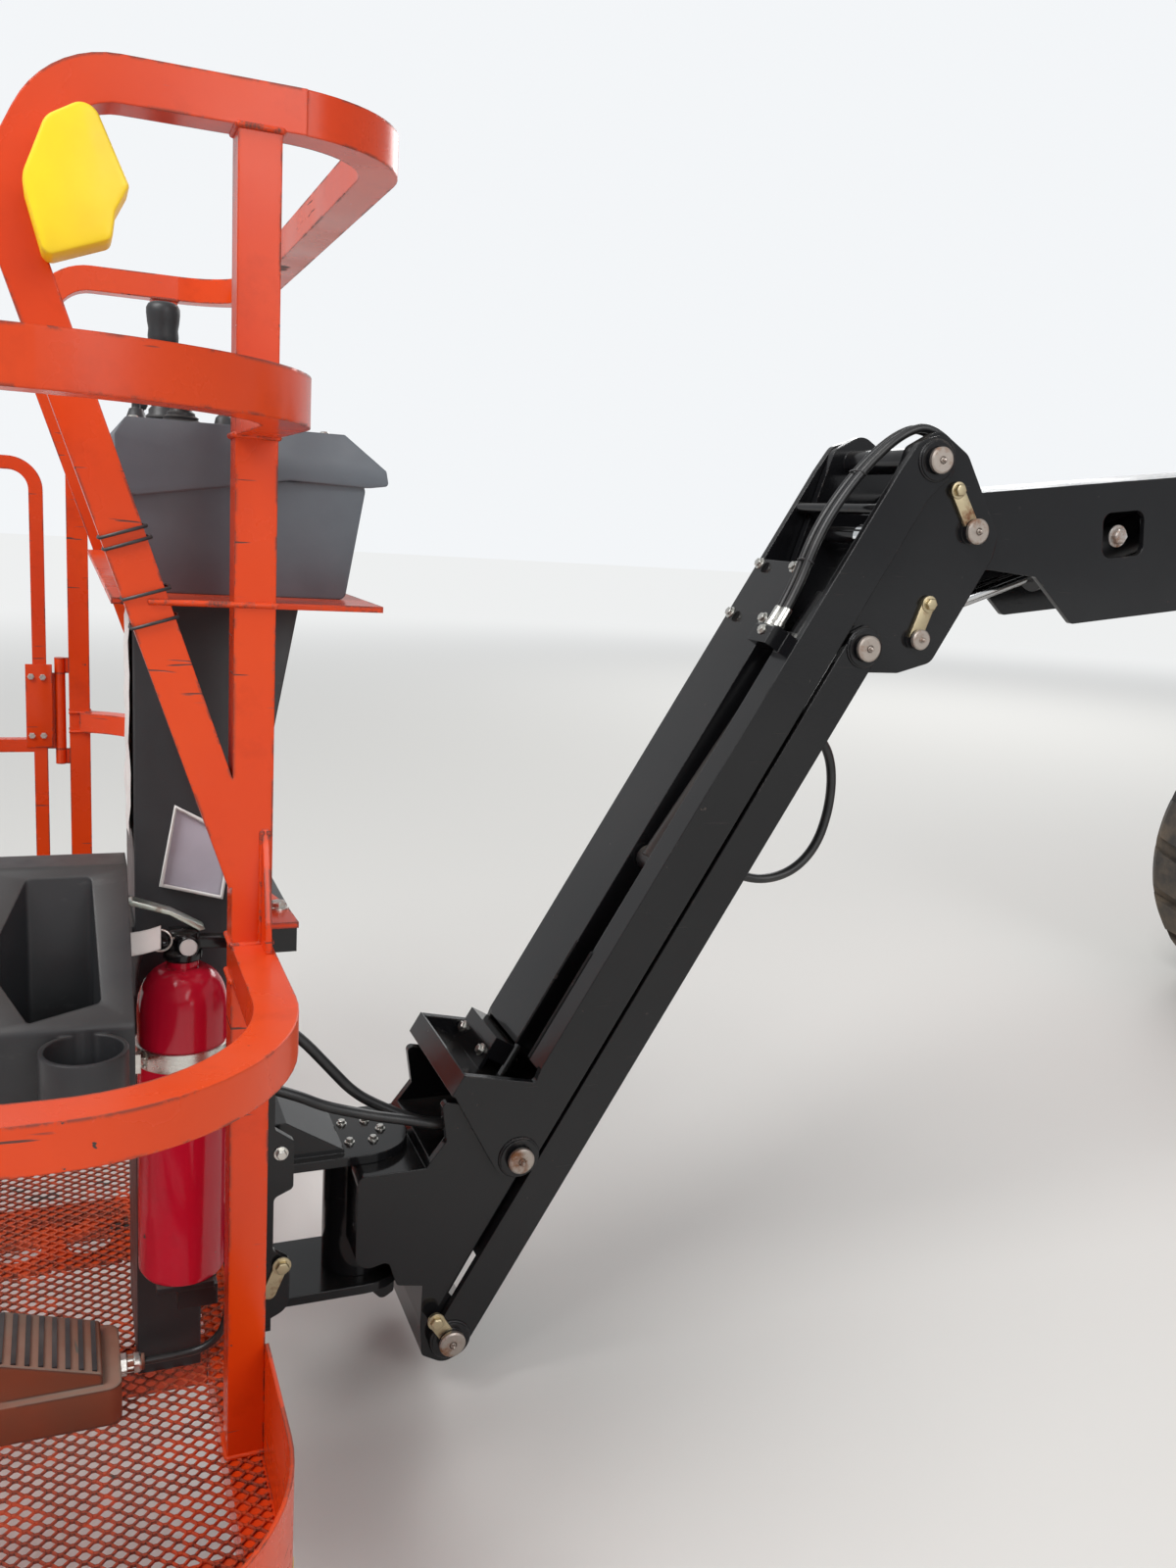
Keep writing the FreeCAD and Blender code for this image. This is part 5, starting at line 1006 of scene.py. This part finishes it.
for i in range(9):
    t = i / 8
    x, z = EXT[0] - 0.024 - 0.030 * t, 0.893 - 0.006 * t
    bow = -0.030 - 0.003 * math.sin(math.pi * t)
    tag_rows.append([on_bottle(x - EXT[0], bow, z - 0.0250), on_bottle(x - EXT[0], bow, z),
                     on_bottle(x - EXT[0], bow + 0.0005, z), on_bottle(x - EXT[0], bow + 0.0005, z - 0.0250)])
tag.grid(tag_rows)
tag.done("extinguisher_tag", "platform", "zinc", "white_card", smooth=60)
band = Shape()
band.turned((*EXT, 0.735), (0, 0, 1), [(0.0467, 0), (0.0490, 0.0006), (0.0490, 0.0214), (0.0467, 0.022)], sides=64)
for z in (0.739, 0.748):
    band.sweep([on_bottle(dx, dy, z) for dx, dy in ((-0.040, -0.028), (-0.052, -0.022), (-0.057, -0.014),
                                                    (-0.051, -0.009), (-0.046, -0.012))], 0.0013, sides=8)
band.box(EXT[0] - 0.058, EXT[0] - 0.044, EXT[1] - 0.030, EXT[1] - 0.0275, 0.733, 0.754)
band.box(EXT[0] + 0.046, EXT[0] + 0.0475, EXT[1] - 0.011, EXT[1] + 0.011, 0.560, 0.780)
band.done("extinguisher_band", "platform", "zinc", smooth=50)
bracket = Shape()
bracket.box(EXT[0] - 0.020, EXT[0] + 0.020, EXT[1] + 0.0468, -0.400, 0.460, 0.780)
bracket.box(EXT[0] - 0.030, EXT[0] + 0.030, EXT[1] - 0.040, -0.400, 0.4787, 0.4867)
bracket.box(EXT[0] - 0.008, EXT[0] + 0.034, EXT[1] - 0.036, EXT[1] + 0.020, 0.455, 0.4797)
bracket.done("extinguisher_hanger", "platform", "zinc", "dark_frame", bevel=0.0012, replaces=["extinguisher_bracket"])

# %% [markdown]
# ## Console, levers and what is tied to the column
#
# The console is a grey-blue moulding whose lid overhangs its box. Rubber bellows seal the levers.

# %% Console
softened("console_box", 0.0035)
softened("console_column", 0.004)
softened("tool_tray", 0.0030)
softened("corner_pad", 0.0060)
CONSOLE_TOP = 1.395


def bellows(shape, x, y, z, r_low, r_high, height, folds):
    """Rubber gaiter: folds that shrink towards the top."""
    profile = [(r_low * 1.08, 0), (r_low * 1.08, 0.003)]
    for i in range(folds):
        t0, t1 = (i + 0.15) / folds, (i + 0.6) / folds
        r0 = r_low + (r_high - r_low) * t0
        profile += [(r0, 0.003 + (height - 0.003) * t0), (r0 * 0.80, 0.003 + (height - 0.003) * t1)]
    profile.append((r_high, height))
    shape.turned((x, y, z), (0, 0, 1), profile, sides=40)


gaiters = Shape()
bellows(gaiters, -4.490, -0.371, CONSOLE_TOP, 0.0220, 0.0110, 0.016, 3)
bellows(gaiters, -4.488, -0.100, CONSOLE_TOP, 0.0310, 0.0095, 0.046, 5)
gaiters.done("lever_gaiters", "platform", "black_rubber", replaces=["control_levers"], smooth=50)
levers = Shape()
levers.rod((-4.490, -0.371, 1.409), (-4.490, -0.371, 1.418), 0.0075)
levers.turned((-4.490, -0.371, 1.4145), (0, 0, 1), [(0.009, 0), (0.0150, 0.002), (0.0170, 0.0055), (0.0170, 0.0075),
                                                    (0.0120, 0.0093)])
levers.turned((-4.530, -0.300, CONSOLE_TOP), (0, 0, 1), [(0.015, 0), (0.015, 0.003), (0.0115, 0.004), (0.007, 0.017),
                                                         (0.0045, 0.018), (0.0045, 0.026)])
levers.prism("xz", [(-4.5475, 1.4440), (-4.5465, 1.4330), (-4.5370, 1.4255), (-4.5230, 1.4255), (-4.5135, 1.4330),
                    (-4.5125, 1.4440), (-4.5200, 1.4400), (-4.5300, 1.4320), (-4.5400, 1.4400)], -0.3035, -0.2965)
levers.turned((-4.447, -0.371, CONSOLE_TOP), (0, 0, 1), [(0.013, 0), (0.013, 0.004), (0.010, 0.0045), (0.0085, 0.011),
                                                         (0.0055, 0.014)])
levers.turned((-4.520, -0.200, CONSOLE_TOP), (0, 0, 1), [(0.013, 0), (0.013, 0.003), (0.008, 0.0035), (0.005, 0.019),
                                                         (0.004, 0.020), (0.004, 0.027)])
levers.turned((-4.520, -0.200, 1.4165), (0, 0, 1), [(0.0028, 0), (0.0062, 0.002), (0.0080, 0.006), (0.0074, 0.010),
                                                    (0.0045, 0.0145)])
levers.rod((-4.488, -0.100, 1.438), (-4.488, -0.100, 1.502), 0.0068)
grip = [(0.0150, 0), (0.0172, 0.002), (0.0180, 0.012), (0.0172, 0.020), (0.0186, 0.028), (0.0196, 0.038), (0.0196, 0.044),
        (0.0170, 0.049), (0.0120, 0.0515)]
levers.turned((-4.488, -0.100, 1.499), (0, 0, 1), grip)
levers.done("lever_grips", "platform", "dark_plastic", smooth=50)
screws = Shape()
for x, y in ((-4.540, -0.440), (-4.540, 0.290), (-4.355, -0.440), (-4.355, 0.290)):
    screws.turned((x, y, CONSOLE_TOP - 0.0005), (0, 0, 1), [(0.0055, 0), (0.0055, 0.0012), (0.0035, 0.0030)], sides=16)
screws.done("console_screws", "platform", "zinc")
plate = Shape()
plate.plate([(-4.498, -0.4005, 0.998), (-4.440, -0.4005, 0.965), (-4.450, -0.4005, 0.895), (-4.513, -0.4005, 0.912)],
            0.0025)
plate.done("document_plate", "platform", "grey_plastic", "lilac_plate", bevel=0.0008)
rim = Shape()
corners = [(-4.498, 0.998), (-4.440, 0.965), (-4.450, 0.895), (-4.513, 0.912)]
rim.sweep([(x, -0.4035, z) for x, z in corners], 0.0028, sides=8, closed=True)
rim.done("document_frame", "platform", "grey_plastic", "white_card", smooth=60)
paper = Shape()
rows = []
for i in range(15):
    t = i / 14
    row = []
    for j in range(7):
        s = j / 6
        wrinkle = 0.0016 * math.sin(9 * t + 4 * s) + 0.0010 * math.sin(23 * t - 6 * s)
        row.append((-4.5425 - abs(wrinkle), -0.392 + 0.105 * s, 1.190 - 0.245 * t + 0.012 * math.sin(3 * s)))
    rows.append(row)
paper.grid(rows, close_ring=False, close_ends=False)
paper.done("blank_sheet", "platform", "grey_plastic", "white_card", smooth=60)

# %% [markdown]
# ## Cables tied to the brace, hinge plate and foot switch

# %% Small things on the platform
ties = Shape()
for x, z, lean in ((-4.5555, 1.289, 0.33), (-4.5515, 1.279, 0.30), (-4.5360, 1.235, 0.40), (-4.5290, 1.209, 0.38)):
    half = 0.0195
    along = Vector((0.40, 0, -0.917))
    across = Vector((0.917, 0, 0.40))
    centre = Vector((x, -0.550, z))
    loop = []
    for a, b in ((-1, -1), (0, -1.04), (1, -1), (1.04, 0), (1, 1), (0, 1.04), (-1, 1), (-1.04, 0)):
        loop.append(centre + across * (a * (half + 0.0012)) + Vector((0, b * (half + 0.0012), 0)) + along * (0.006 * a * lean))
    ties.sweep(loop, 0.0016, sides=6, closed=True)
ties.done("brace_ties", "platform", "black_rubber", smooth=60)
hinge_plate = Shape()
hinge_plate.box(-4.6740, -4.6260, 0.8812, 0.8845, 0.826, 0.990)
hinge_plate.done("gate_hinge_plate", "gate", "orange_paint", bevel=0.0008)
hinge_bolts = Shape()
for x, z in ((-4.664, 0.966), (-4.643, 0.965), (-4.664, 0.850), (-4.643, 0.850)):
    hinge_bolts.bolt((x, 0.8812, z), (0, -1, 0), across=0.011, head=0.004, washer=False)
hinge_bolts.done("gate_hinge_bolts", "gate", "zinc")
switch_tread = Shape()
for i in range(8):
    x = -4.685 + i * 0.0135
    top = 0.412 - 0.034 * (x + 4.690) / 0.110
    switch_tread.box(x, x + 0.005, -0.466, -0.374, top - 0.004, top + 0.0012)
switch_tread.done("foot_switch_ribs", "platform", "black_rubber")
gland = Shape()
gland.turned((-4.5615, -0.420, 0.350), (1, 0, 0), [(0.0125, 0), (0.0125, 0.008), (0.0098, 0.009), (0.0098, 0.016)], sides=6)
gland.turned((-4.5455, -0.420, 0.350), (1, 0, 0), [(0.0110, 0), (0.0110, 0.006), (0.0070, 0.010)], sides=20)
gland.done("foot_switch_gland", "platform", "zinc", smooth=40)
softened("foot_switch", 0.0030, finish="grimy_orange")
stripe = Shape()
CORNER = math.radians(90)
rows = []
for i in range(13):
    t = -math.radians(8 + 74 * i / 12)
    c, s = math.cos(t), math.sin(t)
    out = 0.2035
    centre = (-4.620, -0.716)
    rows.append([(centre[0] + out * c, centre[1] + out * s, z) for z in (0.292, 0.340)] +
                [(centre[0] + (out + 0.0006) * c, centre[1] + (out + 0.0006) * s, z) for z in (0.340, 0.292)])
stripe.grid(rows)
stripe.done("toe_board_stripe", "platform", "yellow_plastic", smooth=60)
print("platform details done")

# %% [markdown]
# ## Welds
#
# The frame of the platform is square tube, welded all round where a post meets a rail. A bead is a thin bar whose
# radius ripples along its way, as the arc leaves it. The jib's pin bosses have one too.

# %% Weld beads
RIPPLE_STEP = 0.0036
RIPPLE_R = 0.0030


def unit_from(shape):
    """Mesh of a shape, to be repeated; its Z is the way it faces."""
    bmesh.ops.recalc_face_normals(shape.bm, faces=shape.bm.faces)
    mesh = bpy.data.meshes.new("unit")
    shape.bm.to_mesh(mesh)
    shape.bm.free()
    return mesh


def ripple():
    """One ripple of a bead, a low disc across the seam."""
    return unit_from(Shape().turned((0, 0, -0.0026), (0, 0, 1), [(RIPPLE_R * 0.72, 0), (RIPPLE_R, 0.0014),
                                                                  (RIPPLE_R * 0.98, 0.0030), (RIPPLE_R * 0.72, 0.0050)], sides=8))


def along_seam(corners, closed=True):
    """Points every few millimetres along straight runs, with the way each run goes."""
    pts = [Vector(c) for c in corners]
    runs = list(zip(pts, pts[1:] + pts[:1])) if closed else list(zip(pts, pts[1:]))
    spots, ways = [], []
    for a, b in runs:
        n = max(1, round((b - a).length / RIPPLE_STEP))
        for i in range(n):
            spots.append(a.lerp(b, (i + 0.5) / n))
            ways.append((b - a).normalized())
    return spots, ways


def square(x, y, z, half=0.0195):
    return [(x - half, y - half, z), (x + half, y - half, z), (x + half, y + half, z), (x - half, y + half, z)]


def circle(x, y, z, r, sides=52):
    return [(x + r * math.cos(2 * math.pi * i / sides), y, z + r * math.sin(2 * math.pi * i / sides)) for i in range(sides)]


def weld(name, body, slot, seams, size=1.0):
    spots, ways = [], []
    for corners, closed in seams:
        more_spots, more_ways = along_seam(corners, closed)
        spots += more_spots
        ways += more_ways
    return add_piece(repeated(name, spots, ripple(), finishes[slot], ways, size), name, body, slot, smooth=60)


POSTS = [(-5.164, -0.690), (-5.164, 0.0), (-5.164, 0.690), (-4.577, 0.896), (-5.040, 0.896), (-4.962, -0.896)]
GUARD_POSTS = [(-4.440, -0.550), (-4.440, 0.550)]
GATE_SIDES = {-4.577: -1, -5.040: 1}
seams = []
for x, y in POSTS:
    for z in (1.381, 0.896, 0.858, 0.320):
        corners = square(x, y, z)
        if x in GATE_SIDES:
            # no rail meets the side of a post that faces the gate
            if GATE_SIDES[x] > 0:
                corners = [corners[1], corners[0], corners[3], corners[2]]
        seams.append((corners, x not in GATE_SIDES))
weld("post_welds", "platform", "orange_paint", seams)
seams = [(square(x, y, z), True) for x, y in GUARD_POSTS for z in (1.381, 1.419, 0.896, 0.858, 0.320, 1.641)]
for x, y in GUARD_POSTS:
    side = math.copysign(1, y)
    seams += [([(x + face, y + side * 0.0195, 0.896), (x + face, y + side * 0.0195, 1.010)], False)
              for face in (0.009, 0.015)]
    seams.append(([(-4.534, y - 0.0195, 1.228), (-4.420, y - 0.0195, 1.228)], False))
weld("guard_welds", "platform", "orange_paint", seams)
weld("jib_welds", "jib", "black_paint",
     [(circle(x, side * 0.1267, z, 0.0302), True) for x, z in ((-3.980, 0.377), (-3.362, 1.452)) for side in (-1, 1)] +
     [([on_jib(132, -45, y), on_jib(320, -45, y)], False) for y in (-17, -76)])
weld("link_welds", "jib_link", "black_paint",
     [(circle(x, side * 0.1267, z, 0.0292), True) for x, z in ((-4.075, 0.087), (-3.457, 1.162)) for side in (-1, 1)])
weld("support_welds", "platform", "black_paint",
     [([(-4.4205, side * 0.130, 0.185), (-4.4205, side * 0.130, 0.880)], False) for side in (-1, 1)], 1.2)

# %% [markdown]
# ## Wheels, covers and the boom
#
# What the photograph leaves out is filled in with what such machines carry: nine nuts to a wheel, louvres and
# latches on the covers, and a bolt behind the fly's window. A node graph sets each row.

# %% Wheels, covers and boom
NUTS = 9
STUD_RING = 0.148
wheel_nut = unit_from(Shape().bolt((0, 0, 0), (0, 0, 1), across=0.030, head=0.018, shank=0.008))
hub_screw = unit_from(Shape().bolt((0, 0, 0), (0, 0, 1), across=0.013, head=0.006, washer=False))
for sx, end in ((-1, "front"), (1, "rear")):
    for sy, tag in ((1, "left"), (-1, "right")):
        for what, unit, count, ring, face in (("nuts", wheel_nut, NUTS, STUD_RING, 1.0508),
                                              ("hub_screws", hub_screw, 8, 0.046, 1.1068)):
            turns = [2 * math.pi * (i + 0.5) / count for i in range(count)]
            spots = [(sx * 0.990 + ring * math.cos(t), sy * face, 0.420 + ring * math.sin(t)) for t in turns]
            name = "wheel_%s_%s_%s" % (what, end, tag)
            add_piece(repeated(name, spots, unit.copy(), finishes["bare_steel"], [(0, sy, 0)] * count), name,
                      "wheel_%s_%s" % (end, tag), "cream_paint", "bare_steel", smooth=30)
SLATS = 7
SLAT_PITCH = 0.028
for side, tag, x_end in ((1, "left", 0.700), (-1, "right", 0.385)):
    slat = unit_from(Shape().prism("yz", [(side * y, z) for y, z in ((-0.0005, 0), (0.009, 0.003), (0.011, 0.007),
                                                                      (-0.0005, 0.019))], -0.13, 0.13))
    spots = [(x, side * 1.0200, 1.010 + i * SLAT_PITCH) for x in (-0.62, -0.22) for i in range(SLATS)]
    name = "hood_louvres_" + tag
    add_piece(repeated(name, spots, slat, finishes["orange_paint"]), name, "hood_" + tag, "orange_paint", smooth=30)
    latch = Shape()
    for x in (-0.80, x_end - 0.14):
        latch.box(x - 0.050, x + 0.050, side * 1.0198, side * 1.0240, 0.930, 0.980)
        latch.turned((x - 0.025, side * 1.0235, 0.955), (0, side, 0), [(0.012, 0), (0.012, 0.006), (0.010, 0.008)])
        latch.box(x - 0.030, x + 0.042, side * 1.0290, side * 1.0350, 0.949, 0.961)
    latch.done("hood_latches_" + tag, "hood_" + tag, "dark_plastic", bevel=0.0010)
boom_bits = Shape()
for side in (-1, 1):
    boom_bits.bolt((-2.940, side * 0.082, 1.360), (0, side, 0), across=0.024, head=0.010)
boom_bits.done("fly_window_bolts", "fly", "bare_steel", smooth=30)
